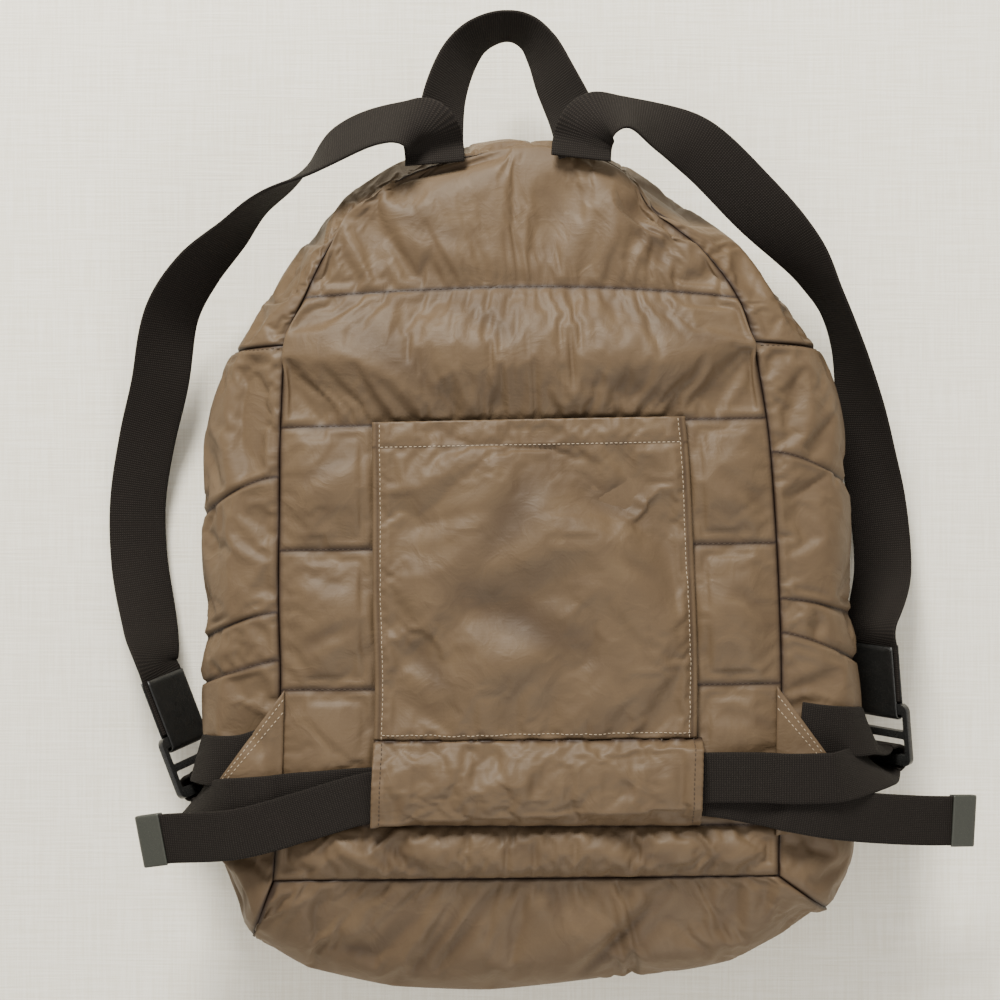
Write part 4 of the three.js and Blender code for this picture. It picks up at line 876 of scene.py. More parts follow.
def make_strip(name, node, base, seams, pressure=3.0, growth=0.05,
               lift=4 * MM, wall=6 * MM, inset=2 * MM, folds=()):
    """Inflates a strip of cloth whose seams are rows of its grid, and closes it with a lining below."""
    normal = outward_normals(base)
    rows = np.arange(len(base))
    raised = np.zeros(len(base))
    for low, high in zip(seams, seams[1:]):
        inside = (rows >= low) & (rows <= high)
        raised[inside] = swell((rows[inside] - low) / (high - low))
    across = swell(np.linspace(0, 1, base.shape[1])) ** 0.7
    profile = raised[:, None] * across[None, :]
    start = base + normal * (lift * profile)[..., None]
    sewn = np.zeros(base.shape[:2])
    sewn[seams] = 1
    sewn[:, [0, -1]] = 1
    cloth = refine(inflate(name + "_cloth", start, sewn, pressure, growth))
    fine_base, fine_normal = refine(base), unit(refine(normal))
    fine_profile = refine(profile[..., None])[..., 0]
    cloth = cloth + fine_normal * (fold_heights(cloth, folds) * fine_profile)[..., None]
    outer, out = take_in(cloth, fine_base, fine_normal, inset * fine_profile, SINK)
    depth = wall * (0.35 + 0.65 * np.sin(np.pi * np.linspace(0, 1, outer.shape[1])) ** 0.5)[None, :]
    lining = fine_base - fine_normal * np.maximum(depth, 1.2 * MM - out)[..., None]
    # Painted shade along the strip's seams and edges, and down in its folds.
    painted_shade = seam_mask(outer, [2 * row for row in seams], [0, outer.shape[1] - 1], PAINTED_SHADE_REACH)
    painted_shade = np.maximum(painted_shade, fold_shade(outer, folds) * fine_profile)
    piece = closed_sheet(name, outer, lining, nylon, painted_shade)
    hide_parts(node)
    strip_grids[name] = outer
    return piece


SINK = 3.5 * MM
strip_grids = {}

# %% The two side gussets
# Columns: the seam's share of the length at the back seam and at the widest line.
GUSSET_SEAMS = {
    "left": [(0.137, 0.137), (0.392, 0.371), (0.447, 0.419), (0.603, 0.553), (0.7545, 0.7545)],
    "right": [(0.143, 0.143), (0.424, 0.403), (0.463, 0.445), (0.632, 0.588), (0.7586, 0.7586)],
}
SECTION_STEPS = 40
section_s = np.linspace(0, 1, SECTION_STEPS + 1)


def gusset_base(side):
    """The side's surface as a grid whose rows slant with the stitch lines."""
    seams = np.array(GUSSET_SEAMS[side])
    marks = seams[:, 0]
    shares = spaced(marks, BODY_LENGTH, GRID_STEP)
    at_widest = np.interp(shares, marks, seams[:, 1])
    near_widest = np.sin(np.pi * np.minimum(section_s, 0.62)) ** 1.5
    share = shares[:, None] + (at_widest - shares)[:, None] * near_widest[None, :]
    base = side_points(side_place(side, share), section_s[None, :] + 0 * share)
    return base, [int(np.argmin(np.abs(shares - mark))) for mark in marks]


side_pieces = {}
for side in ("left", "right"):
    side_pieces[side] = make_strip(f"side_quilt_{side}", f"gusset_{side}", *gusset_base(side))

# %% The bottom panel
BOTTOM_INSET = 0.006
bottom_u = np.linspace(-1 + BOTTOM_INSET, 1 - BOTTOM_INSET, 101)[:, None]
bottom_base = bottom_points(bottom_u + 0 * section_s, section_s + 0 * bottom_u)
bottom_piece = make_strip(
    "bottom_quilt", "bottom_panel", bottom_base, [0, 100], growth=0.06, lift=3 * MM,
    inset=7 * MM, folds=BOTTOM_FOLDS)

# %% The top gusset: two padded strips with the zip between them
ZIP_FROM, ZIP_TO, STRIP_GAP = 0.54, 0.66, 0.008
ARCH_STEPS, ARCH_INSET = 190, 0.012
arch_first = side_place("left", np.array(GUSSET_SEAMS["left"][-1][0])) + ARCH_INSET
arch_last = side_place("right", np.array(GUSSET_SEAMS["right"][-1][0])) - ARCH_INSET
arch_place = np.linspace(arch_first, arch_last, ARCH_STEPS + 1)[:, None]


def arch_grid(first, last, steps):
    s = np.linspace(first, last, steps + 1)
    return side_points(arch_place + 0 * s, s + 0 * arch_place)


top_back_piece = make_strip(
    "top_quilt_back", "top_gusset_back", arch_grid(0, ZIP_FROM - STRIP_GAP, 20), [0, ARCH_STEPS],
    growth=0.05, lift=2.5 * MM, wall=3.2 * MM, inset=3 * MM)
make_strip(
    "top_quilt_front", "top_gusset_front", arch_grid(ZIP_TO + STRIP_GAP, 1, 12), [0, ARCH_STEPS],
    growth=0.04, lift=1.5 * MM, wall=3.2 * MM, inset=1 * MM)

# %% [markdown]
# The zip is a flat tape with small teeth. Every tooth is the same little block, so one loop walks along the
# tape and places them, tilted with it.

# %% Zip tape and teeth
def blocks(name, centres, directions, sizes, material):
    """Many small blocks in one mesh, each with its own three directions."""
    corner = np.array([(i, j, k) for i in (-1, 1) for j in (-1, 1) for k in (-1, 1)], float)
    cube = np.array([(0, 1, 3, 2), (4, 6, 7, 5), (0, 4, 5, 1), (2, 3, 7, 6), (0, 2, 6, 4), (1, 5, 7, 3)])
    points = centres[:, None] + sum(
        corner[None, :, k:k + 1] * directions[k][:, None] * sizes[k] / 2 for k in range(3))
    faces = cube[None] + 8 * np.arange(len(centres))[:, None, None]
    return add_mesh(name, points.reshape(-1, 3), faces.reshape(-1, 4), material)


ZIP_DEPTH, TAPE_THICKNESS = 3.2 * MM, 1.2 * MM
TOOTH_SIZE, TOOTH_OFFSET, TOOTH_RISE = (1.5 * MM, 3.0 * MM, 1.3 * MM), 0.7 * MM, 0.5 * MM
tape_outer = arch_grid(ZIP_FROM, ZIP_TO, 8)
tape_normal = outward_normals(tape_outer)
tape_outer = tape_outer - tape_normal * ZIP_DEPTH
tape_piece = closed_sheet("zip_tape", tape_outer, tape_outer - tape_normal * TAPE_THICKNESS, zip_cloth)
tooth = np.arange(1, ARCH_STEPS)
teeth_along = unit(tape_outer[tooth + 1, 4] - tape_outer[tooth - 1, 4])
teeth_out = tape_normal[tooth, 4]
teeth_across = np.cross(teeth_along, teeth_out)
side_step = np.where(tooth % 2 == 0, TOOTH_OFFSET, -TOOTH_OFFSET)[:, None]
teeth_piece = blocks(
    "zip_teeth", tape_outer[tooth, 4] + teeth_across * side_step + teeth_out * TOOTH_RISE,
    (teeth_along, teeth_across, teeth_out), TOOTH_SIZE, zip_coil)
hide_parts("zip")

# %% [markdown]
# ## The front panel
# The bag lies on this panel, so its channels are pressed flat on the floor and only its rounded rim shows.
# Nothing would be gained by a simulation here: a formula rounds the rim and lifts the seams a little.

# %% Front panel, pressed flat
FRONT_ROUNDING, FRONT_VALLEY, FRONT_WALL = 26 * MM, 3.5 * MM, 9 * MM
front_rows = channel_rows(4 * MM)
front_u = spaced([-1, 1], PANEL_HALF, 4 * MM)
front_plan = panel_grid(FRONT, front_rows, front_u)
rim_points = np.concatenate(
    [front_plan[:, 0], front_plan[-1], front_plan[::-1, -1], front_plan[0, ::-1]])[:, :2]
rim_distance = np.sqrt(((front_plan[..., None, :2] - rim_points[None, None]) ** 2).sum(-1)).min(-1)
ramp = np.sqrt(1 - (1 - np.minimum(1, rim_distance / FRONT_ROUNDING)) ** 2)
front_f = front_rows - np.minimum(front_rows.astype(int), LAST_CHANNEL - 1)
valley = FRONT_VALLEY * (1 - np.minimum(1, 1.1 * swell(front_f)))[:, None] * ramp
pucker = 0.7 * MM * np.abs(soft_noise(front_plan, 22 * MM, 5)) * np.sin(np.pi * ramp) ** 2
front_outer, front_inner = front_plan.copy(), front_plan.copy()
front_outer[..., 2] = FRONT_SEAM_HEIGHT * (1 - ramp) + valley + pucker
front_inner[..., 2] = (FRONT_SEAM_HEIGHT + 3 * MM) * (1 - ramp) + FRONT_WALL * ramp
front_piece = closed_sheet("front_quilt", front_outer, front_inner, nylon)
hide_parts("front_panel")

# %% [markdown]
# ## The pocket
# The pocket is one flat sheet of the same nylon, stitched down at its two sides and its foot, with a folded
# hem along its open top. It is inflated only a little: it should look slack, with broad dents.

# %% Inflate the pocket
def edge_fade(count):
    """Shares that are 0 at both edges of a grid and 1 from a little way in."""
    return np.clip(8 * np.sin(np.pi * np.linspace(0, 1, count)), 0, 1)


POCKET_LIFT, POCKET_THICKNESS = 4.2 * MM, 1.2 * MM
HEM_ROW = 54
pocket_rows = np.linspace(SLEEVE_TOP, CHEST + 0.02, 60)
pocket_u = np.linspace(*POCKET_SIDES, 62)
pocket_plan = crowned(panel_grid(BACK, pocket_rows, pocket_u), pocket_rows, pocket_u)
pocket_side = np.minimum(1, np.minimum(pocket_u - POCKET_SIDES[0], POCKET_SIDES[1] - pocket_u) / 0.06)
pocket_start = pocket_plan.copy()
pocket_start[..., 2] += POCKET_LIFT + 1.2 * MM * np.sqrt(np.clip(pocket_side, 0, 1))[None, :]
pocket_start[..., 2] += 0.8 * MM * soft_noise(pocket_start, 60 * MM, 11)
pocket_sewn = np.zeros(pocket_plan.shape[:2])
pocket_sewn[:, [0, 1, -2, -1]] = 1
pocket_sewn[0] = 1
pocket_sewn[[HEM_ROW, -1]] = 0.6
pocket_cloth = inflate("pocket_cloth", pocket_start, pocket_sewn, pressure=0.6, growth=0.03)
pocket_fine = refine(pocket_cloth)
pocket_inside = edge_fade(pocket_fine.shape[1])[None, :] * edge_fade(pocket_fine.shape[0])[:, None]
pocket_fine[..., 2] += fold_heights(pocket_fine, POCKET_FOLDS) * pocket_inside
# Painted shade, at half strength, along the hem and the sewn sides, and down in the folds.
pocket_painted_shade = 0.5 * seam_mask(pocket_fine, [2 * HEM_ROW], [2, pocket_fine.shape[1] - 3], 0.5 * MM)
pocket_painted_shade = np.maximum(pocket_painted_shade, fold_shade(pocket_fine, POCKET_FOLDS) * pocket_inside)
pocket_piece = closed_sheet(
    "pocket_sheet", pocket_fine, pocket_fine - [0, 0, POCKET_THICKNESS], nylon, pocket_painted_shade)
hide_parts("back_pocket")

# %% [markdown]
# ## Wings
# A wing is a triangle of doubled nylon that is sewn into the side seam and holds the end of a strap.

# %% The two wings
WINGS = {
    "left": [(-0.74, 0.357), (-0.75, 0.185), (-0.94, 0.252), (-0.9, 0.2)],
    "right": [(0.74, 0.362), (0.735, 0.19), (0.93, 0.262), (0.9, 0.205)],
}
WING_THICKNESS, WEBBING_THICKNESS = 1.6 * MM, 1.8 * MM
body_tree = height_tree(back_piece, *side_pieces.values(), bottom_piece)


def settle(grid, trees, room, reach):
    """Sets a grid's heights to the highest ground near it plus some room."""
    for a in range(grid.shape[0]):
        for b in range(grid.shape[1]):
            x, y = grid[a, b, :2]
            grid[a, b, 2] = max(ground(trees, x, y + k * reach) for k in (-1, -0.5, 0, 0.5, 1)) + room[a, b]
    return grid


def make_wing(side):
    seam_top, seam_foot, tip_top, tip_foot = [body_point(x, y, 0) for x, y in WINGS[side]]
    i = np.linspace(0, 1, 36)[:, None, None]
    f = np.linspace(0, 1, 24)
    seam, tip = seam_foot + (seam_top - seam_foot) * i, tip_foot + (tip_top - tip_foot) * i
    grid = seam + (tip - seam) * f[None, :, None]
    room = SEAM_GAP + (WEBBING_THICKNESS + 5 * SEAM_GAP) * np.minimum(1, 3 * f) + 4.2 * MM * f * f
    grid = settle(grid, [body_tree], np.broadcast_to(room, grid.shape[:2]), 9 * MM)
    for _ in range(6):
        grid[1:-1, 1:-1, 2] = np.maximum(grid[1:-1, 1:-1, 2], neighbour_mean(grid[..., 2]))
    grid[..., 2] += 0.5 * MM * soft_noise(grid, 30 * MM, 21)
    wing_grids[side] = grid + [0, 0, WING_THICKNESS]
    piece = closed_sheet(f"wing_sheet_{side}", wing_grids[side], grid, nylon)
    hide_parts(f"wing_{side}")
    return piece


wing_grids = {}
wing_pieces = {side: make_wing(side) for side in WINGS}

# %% [markdown]
# ## Webbing
# Webbing is flat and keeps its width, so it bends and twists but never stretches. Each strap is a ribbon:
# a curve for its middle, and at every point a direction across. A curve object with a bevel could do this,
# but the twist is easier to steer with the direction given at each row of a table.

# %% Curves through points, as a strap's middle runs
def curve_point(points, f, centripetal=True):
    """Points on a Catmull-Rom curve; f runs from 0 to 1 with equal shares between the given points."""
    points = np.asarray(points, float)
    last = len(points) - 1
    extended = np.concatenate([[2 * points[0] - points[1]], points, [2 * points[-1] - points[-2]]])
    place = np.clip(np.asarray(f, float), 0, 1) * last
    row = np.minimum(place.astype(int), last - 1)
    t = (place - row)[:, None]
    p0, p1, p2, p3 = (extended[row + k] for k in range(4))
    start, end = (p2 - p0) / 2, (p3 - p1) / 2
    if centripetal:
        pairs = ((p0, p1), (p1, p2), (p2, p3))
        d0, d1, d2 = (np.sqrt(np.linalg.norm(b - a, axis=-1, keepdims=True)) for a, b in pairs)
        start = ((p1 - p0) / d0 - (p2 - p0) / (d0 + d1) + (p2 - p1) / d1) * d1
        end = ((p2 - p1) / d1 - (p3 - p1) / (d1 + d2) + (p3 - p2) / d2) * d1
    return ((2 * t**3 - 3 * t**2 + 1) * p1 + (t**3 - 2 * t**2 + t) * start
            + (3 * t**2 - 2 * t**3) * p2 + (t**3 - t**2) * end)


def ribbon_rings(middles, directions, samples, square=1.0):
    """The middle, width direction, normal and run of a ribbon at evenly spread places."""
    f = np.linspace(0, 1, samples + 1)
    p = curve_point(middles, f)
    ahead, behind = np.minimum(f + 1e-4, 1), np.maximum(f - 1e-4, 0)
    tangent = unit(curve_point(middles, ahead) - curve_point(middles, behind))
    w = curve_point(directions, f, centripetal=False)
    w = unit(w - tangent * (w * tangent).sum(-1, keepdims=True) * square)
    return {"p": p, "w": w, "n": unit(np.cross(tangent, w)), "tangent": tangent}


# %% Ribbons with a thickness and rounded edges
EDGE_SHARES = np.array([-1, -0.965, -0.9, -0.72, -0.45, -0.15, 0.15, 0.45, 0.72, 0.9, 0.965, 1])
EDGE_THICKNESS = np.array([0.35, 0.85, 1, 0.94, 0.97, 1, 1, 0.97, 0.94, 1, 0.85, 0.35])


def ribbon(name, rings, width, thickness, material, wave=0.0, seed=0):
    """A closed band through the rings; wave lets its edges ripple a little, as handled webbing does."""
    p, w, n = (rings[key][:, None] for key in ("p", "w", "n"))
    share = EDGE_SHARES[None, :, None]
    half = (thickness / 2 * EDGE_THICKNESS)[None, :, None]
    length = lengths_along(rings["p"])
    draws = np.random.default_rng(seed)
    ripple = sum(draws.uniform(0.4, 1) * np.sin(length / (draws.uniform(9, 26) * MM) + draws.uniform(0, 6.3))
                 for _ in range(4))[:, None, None]
    middle = p + w * share * width / 2 + n * (wave * ripple * share)
    uv = np.stack(np.broadcast_arrays((EDGE_SHARES[None, :] + 1) / 2, length[:, None]), -1)
    piece = closed_sheet(name, middle + n * half, middle - n * half, material, uv=uv)
    return piece


def width_direction(heading, tilt):
    """A direction from its heading in plan and its tilt, in degrees."""
    h, t = math.radians(heading), math.radians(tilt)
    return np.array([math.cos(h) * math.cos(t), math.sin(h) * math.cos(t), math.sin(t)])


# %% [markdown]
# ## Sliders
# The plastic sliders fix where the straps end, so they come first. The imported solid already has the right
# outline, so it is copied, its faces are merged, and a bevel rounds its edges as moulding does.

# %% Places of the two sliders
SHOULDER_WEBBING, LOWER_WEBBING, HANDLE_WEBBING = 30 * MM, 25 * MM, 25 * MM
SLIDER_THICKNESS, SLIDER_BAR, SLIDER_MIDDLE, SLIDER_SLOT = 3 * MM, 5.5 * MM, 4 * MM, 9 * MM
SLIDER_LENGTH = 2 * SLIDER_BAR + 2 * SLIDER_SLOT + SLIDER_MIDDLE
TOP_BAR = (SLIDER_LENGTH - SLIDER_BAR) / 2
LOWER_SLOT = -(SLIDER_MIDDLE + SLIDER_SLOT) / 2
SLIDERS = {
    "left": {"place": (-1.063, 0.261, 0.356), "run": 111, "outward": 200, "tilt": 57},
    "right": {"place": (1.112, 0.296, 0.37), "run": 96, "outward": -4, "tilt": 50},
}


def slider_frame(place, run, outward, tilt):
    """A slider's middle and its directions: a across, b along the strap, n through, up the side we see."""
    a = width_direction(outward, tilt)
    rise = math.atan(-math.cos(math.radians(outward - run)) / math.tan(math.radians(tilt)))
    b = width_direction(run, math.degrees(rise))
    n = np.cross(a, b)
    return {"centre": body_point(*place), "a": a, "b": b, "n": n, "up": n if n[2] > 0 else -n}


slider_frames = {side: slider_frame(**values) for side, values in SLIDERS.items()}


# %% Round the sliders' edges
def rounded_copy(name, node, width, segments, material):
    """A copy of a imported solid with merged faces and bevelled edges, which takes its place."""
    mesh = bpy.data.objects[node].data.copy()
    mesh.name = name
    shape = bmesh.new()
    shape.from_mesh(mesh)
    bmesh.ops.remove_doubles(shape, verts=shape.verts, dist=1e-6)
    bmesh.ops.dissolve_limit(shape, angle_limit=math.radians(2), verts=shape.verts, edges=shape.edges)
    bmesh.ops.recalc_face_normals(shape, faces=shape.faces)
    sharp = [edge for edge in shape.edges if edge.is_manifold and edge.calc_face_angle() > math.radians(50)]
    bmesh.ops.bevel(shape, geom=sharp, offset=width, segments=segments, profile=0.5,
                    affect="EDGES", clamp_overlap=True)
    bmesh.ops.triangulate(shape, faces=shape.faces)
    shape.to_mesh(mesh)
    shape.free()
    mesh.shade_smooth()
    mesh.materials.clear()
    mesh.materials.append(material)
    piece = bpy.data.objects.new(name, mesh)
    bpy.context.scene.collection.objects.link(piece)
    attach(piece, "root")
    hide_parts(node)
    return piece


for side in SLIDERS:
    rounded_copy(f"slider_body_{side}", f"slider_{side}", 0.9 * MM, 3, slider_plastic)

# %% [markdown]
# ## Shoulder straps and handle
# Both shoulder straps leave the top seam beside the handle, make one turn over and lie down beside the bag.
# Each row of a table is a place on the strap's middle, with the heading and tilt of its width.

# %% Rows of the shoulder straps and the handle
# Columns: x, y and z as shares of the half width, the length and the seam height, heading, tilt.
LEFT_STRAP = [
    (-0.289, 0.966, 0.9, 20, 0),
    (-0.292, 0.985, 0.94, 16, 0),
    (-0.305, 1.0, 1.02, 20, 0),
    (-0.36, 1.01, 1.05, 50, -20),
    (-0.46, 1.008, 1.0, 90, -40),
    (-0.584, 0.991, 0.9, 115, -51),
    (-0.675, 0.966, 0.82, 122, -72),
    (-0.753, 0.946, 0.75, 126, -90),
    (-0.848, 0.922, 0.69, 128, -101),
    (-0.93, 0.891, 0.62, 134, -114),
    (-1.04, 0.851, 0.53, 142, -130),
    (-1.127, 0.802, 0.41, 152, -147),
    (-1.177, 0.717, 0.28, 167, -172),
    (-1.227, 0.65, 0.17, 172, -180),
    (-1.262, 0.576, 0.1, 180, -180),
    (-1.258, 0.502, 0.1, 190, -176),
    (-1.217, 0.428, 0.2, 197, -150),
]
RIGHT_STRAP = [
    (0.151, 0.97, 0.985, 165, 0),
    (0.156, 0.988, 1.01, 163, 0),
    (0.17, 1.003, 1.04, 157, 0),
    (0.21, 1.018, 1.06, 128, -24),
    (0.285, 1.022, 1.05, 108, -46),
    (0.401, 1.005, 1.0, 66, -31),
    (0.513, 0.983, 0.93, 52, -4),
    (0.679, 0.927, 0.8, 38, 14),
    (0.835, 0.869, 0.68, 36, 46),
    (0.91, 0.83, 0.59, 26, 66),
    (0.959, 0.8, 0.53, 22, 73),
    (1.006, 0.757, 0.45, 16, 68),
    (1.046, 0.698, 0.35, 14, 50),
    (1.081, 0.637, 0.25, 10, 30),
    (1.125, 0.564, 0.16, 3, 10),
    (1.136, 0.489, 0.19, 358, 12),
]
HANDLE_ROWS = [
    (-0.275, 0.972, 0.865, 12, 0),
    (-0.277, 1.003, 0.82, 0, -16),
    (-0.258, 1.057, 0.75, -8, -36),
    (-0.213, 1.102, 0.69, -22, -48),
    (-0.154, 1.128, 0.65, -44, -60),
    (-0.07, 1.14, 0.62, -84, -65),
    (-0.007, 1.13, 0.65, -122, -58),
    (0.038, 1.107, 0.69, -144, -46),
    (0.078, 1.071, 0.75, -152, -32),
    (0.128, 1.026, 0.82, -160, -16),
    (0.158, 0.978, 0.865, -164, 0),
]

# %% Build the shoulder straps and the handle
PATCH_LENGTH, PATCH_THICKNESS = 36 * MM, 1.2 * MM
HANDLE_LIFT = 3 * SEAM_GAP + WEBBING_THICKNESS / 2
UPPER_LIFT = HANDLE_LIFT + WEBBING_THICKNESS + 6 * SEAM_GAP
top_tree = height_tree(back_piece, top_back_piece)


def table_sections(table, width=0.0, lift=0.0):
    """Middles and width directions from a table's rows; sewn rows are lifted clear of the bag."""
    middles, directions = [], []
    for x, y, z, heading, tilt in table:
        p, w = body_point(x, y, z), width_direction(heading, tilt)
        if width > 0 and tilt == 0:
            for k in range(-3, 4):
                for step in (-4 * MM, 0, 4 * MM):
                    q = p + w * k * width / 6
                    p[2] = max(p[2], ground([top_tree], q[0], q[1] + step) + lift)
        middles.append(p)
        directions.append(w)
    return middles, directions


def strap_end(place, side):
    """The end of a shoulder strap, flat between the legs of its patch."""
    runs = (PATCH_LENGTH + 6 * MM, PATCH_LENGTH - 4 * MM, PATCH_LENGTH / 2, SLIDER_BAR / 2 + 1 * MM)
    return [place["centre"] + place["b"] * (TOP_BAR + run) for run in runs], [place["a"] * side] * len(runs)


def shoulder_strap(side, table, turn, seed):
    middles, directions = table_sections(table, SHOULDER_WEBBING, UPPER_LIFT)
    end_middles, end_directions = strap_end(slider_frames[side], turn)
    rings = ribbon_rings(middles + end_middles, directions + end_directions, 220)
    name = f"shoulder_webbing_{side}"
    piece = ribbon(name, rings, SHOULDER_WEBBING, WEBBING_THICKNESS, webbing, 0.25 * MM, seed)
    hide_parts(f"shoulder_strap_{side}")


shoulder_strap("left", LEFT_STRAP, -1, 31)
shoulder_strap("right", RIGHT_STRAP, 1, 32)
handle_rings = ribbon_rings(*table_sections(HANDLE_ROWS, HANDLE_WEBBING, HANDLE_LIFT), 120)
handle_piece = ribbon(
    "handle_webbing", handle_rings, HANDLE_WEBBING, WEBBING_THICKNESS, webbing, 0.2 * MM, 33)
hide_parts("handle")

# %% [markdown]
# ## Lower straps
# Each lower strap is sewn under a wing, goes round the slider's lower bar, comes back over the wing, passes
# through the sleeve and ends free on the far side. Where it lies on the bag, it takes its height from what
# is under it and bridges the hollows.

# %% Rows of the lower straps
LOWER_STRAPS = {
    "left": {
        "under": [(-0.809, 0.284), (-0.855, 0.278), (-0.9, 0.275)],
        "down": [(-0.972, 0.2735, 0.82, 88, -10), (-1.026, 0.271, 0.68, 78, -30)],
        "up": [(-1.036, 0.22, 0.575, 48, -47), (-1.004, 0.2195, 0.81, 76, -28)],
        "over": [
            (-0.904, 0.2286), (-0.813, 0.231), (-0.474, 0.241), (0, 0.2448), (0.525, 0.2432), (0.729, 0.229),
            (0.964, 0.213), (1.193, 0.203), (1.345, 0.1995),
        ],
        "layer": 0,
    },
    "right": {
        "under": [(0.811, 0.315), (0.86, 0.312), (0.925, 0.309)],
        "down": [(0.984, 0.307, 0.83, 92, -10), (1.038, 0.3045, 0.7, 102, -30)],
        "up": [(1.066, 0.2605, 0.76, 132, -47), (0.994, 0.2625, 0.98, 104, -30)],
        "over": [
            (0.904, 0.2598), (0.813, 0.2587), (0.525, 0.2594), (0, 0.2506), (-0.241, 0.2436),
            (-0.474, 0.2367), (-0.691, 0.2136), (-0.86, 0.1963), (-0.96, 0.1905), (-1.096, 0.1852),
            (-1.163, 0.1806),
        ],
        "layer": 1,
    },
}
LAY_STEPS, FREE_SLOPE = 54, 0.36


def lay_strap(waypoints, trees, width, lift):
    """Sections of webbing that lies on the bag: the highest ground under its width, with bridged hollows."""
    plan = [body_point(x, y, 0) for x, y in waypoints]
    dense = curve_point(plan, np.linspace(0, 1, 801))
    run = lengths_along(dense)
    spots = values_at(np.linspace(0, run[-1], LAY_STEPS + 1), run, dense)
    tangent = unit(np.gradient(spots, axis=0))
    across = np.stack([-tangent[:, 1], tangent[:, 0], 0 * tangent[:, 0]], -1)
    across = np.where(across[:, 1:2] < 0, -across, across)
    for p, w in zip(spots, across):
        places = [p + w * k * width / 8 + [reach * MM, 0, 0] for k in range(-4, 5) for reach in (-4, 0, 4)]
        p[2] = max(ground(trees, q[0], q[1]) for q in places)
    step = run[-1] / LAY_STEPS
    for i in range(1, len(spots)):
        spots[i, 2] = max(spots[i, 2], spots[i - 1, 2] - FREE_SLOPE * step)
    for i in range(len(spots) - 2, 3, -1):
        spots[i, 2] = max(spots[i, 2], spots[i + 1, 2] - 2 * FREE_SLOPE * step)
    spots[:, 2] += lift
    return list(spots), list(across)


def bar_turn(place, side):
    """The turn of a lower strap round the slider's lower bar, from the slot to below the slider."""
    reach = SLIDER_THICKNESS / 2 + SEAM_GAP + WEBBING_THICKNESS
    below = -SLIDER_LENGTH / 2
    route = [
        (LOWER_SLOT + 1 * MM, reach + 4 * MM), (LOWER_SLOT, reach), (LOWER_SLOT, 0),
        (LOWER_SLOT - 2.2 * MM, -reach), (below - 0.5 * MM, -reach), (below - 2.4 * MM, 0),
        (below - 2.4 * MM, reach),
    ]
    points = [place["centre"] + place["b"] * b + place["up"] * up for b, up in route]
    return points, [place["a"] * side] * len(route)


wing_tree = height_tree(*wing_pieces.values())


def cleared(rows):
    """Sections from a table, lifted where the webbing would sink into the body."""
    middles, directions = table_sections(rows)
    for p, w in zip(middles, directions):
        edges = [p + w * k * LOWER_WEBBING / 8 for k in range(-4, 5)]
        depths = [ground([body_tree], q[0], q[1]) - q[2] for q in edges]
        p[2] += max(0, *(depth + 4 * SEAM_GAP + WEBBING_THICKNESS / 2 for depth in depths))
    return middles, directions


def lower_strap(side, extra_trees, seed):
    rows = LOWER_STRAPS[side]
    middles, directions = [], []
    for x, y in rows["under"]:
        p = body_point(x, y, 0)
        p[2] = max(ground([body_tree], p[0], p[1] + k * LOWER_WEBBING / 6) for k in range(-3, 4))
        p[2] += 5 * SEAM_GAP + WEBBING_THICKNESS / 2
        middles.append(p)
        directions.append(np.array([0, 1.0, 0]))
    lift = 2.4 * SEAM_GAP + WEBBING_THICKNESS / 2 + rows["layer"] * SEAM_GAP
    parts = [cleared(rows["down"]), bar_turn(slider_frames[side], -1), cleared(rows["up"]),
             lay_strap(rows["over"], [body_tree, wing_tree, *extra_trees], LOWER_WEBBING, lift)]
    for part_middles, part_directions in parts:
        middles += part_middles
        directions += part_directions
    rings = ribbon_rings(middles, directions, 360, 0.6)
    name = f"lower_webbing_{side}"
    piece = ribbon(name, rings, LOWER_WEBBING, WEBBING_THICKNESS, webbing, 0.12 * MM, seed)
    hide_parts(f"lower_strap_{side}")
    return piece, rings


lower_left_piece, lower_left_rings = lower_strap("left", [], 41)
lower_right_piece, lower_right_rings = lower_strap("right", [height_tree(lower_left_piece)], 42)

# %% [markdown]
# ## Patches and end tabs
# A patch is a strip of coated skin, folded over the slider's top bar and sewn to the strap. An end tab is
# folded over the cut end of the webbing. Both are one ribbon that follows a U.

# %% Skins folded round something
def folded_skin(name, origin, along, normal, room, thickness, leg, width, material):
    """A ribbon along one leg, round the bend and back along the other leg."""
    radius = room / 2 + thickness / 2
    straight = np.linspace(leg, 0, 14)
    bend = np.linspace(0, np.pi, 13)[1:-1]
    a = np.concatenate([straight, -radius * np.sin(bend), straight[::-1]])
    h = np.concatenate([0 * straight + radius, radius * np.cos(bend), 0 * straight - radius])
    p = origin + a[:, None] * along + h[:, None] * normal
    tangent = unit(np.gradient(p, axis=0))
    w = np.broadcast_to(np.cross(along, normal), p.shape)
    rings = {"p": p, "w": w, "n": unit(np.cross(tangent, w))}
    return ribbon(name, rings, width, thickness, material)


PATCH_ROOM = max(SLIDER_THICKNESS, WEBBING_THICKNESS) + 2 * SEAM_GAP
for side, place in slider_frames.items():
    origin = place["centre"] + place["b"] * (TOP_BAR - SLIDER_BAR / 2)
    piece = folded_skin(f"patch_skin_{side}", origin, place["b"], place["n"], PATCH_ROOM, PATCH_THICKNESS,
                        PATCH_LENGTH, SHOULDER_WEBBING - 2 * MM, patch_skin)
    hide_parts(f"strap_patch_{side}")

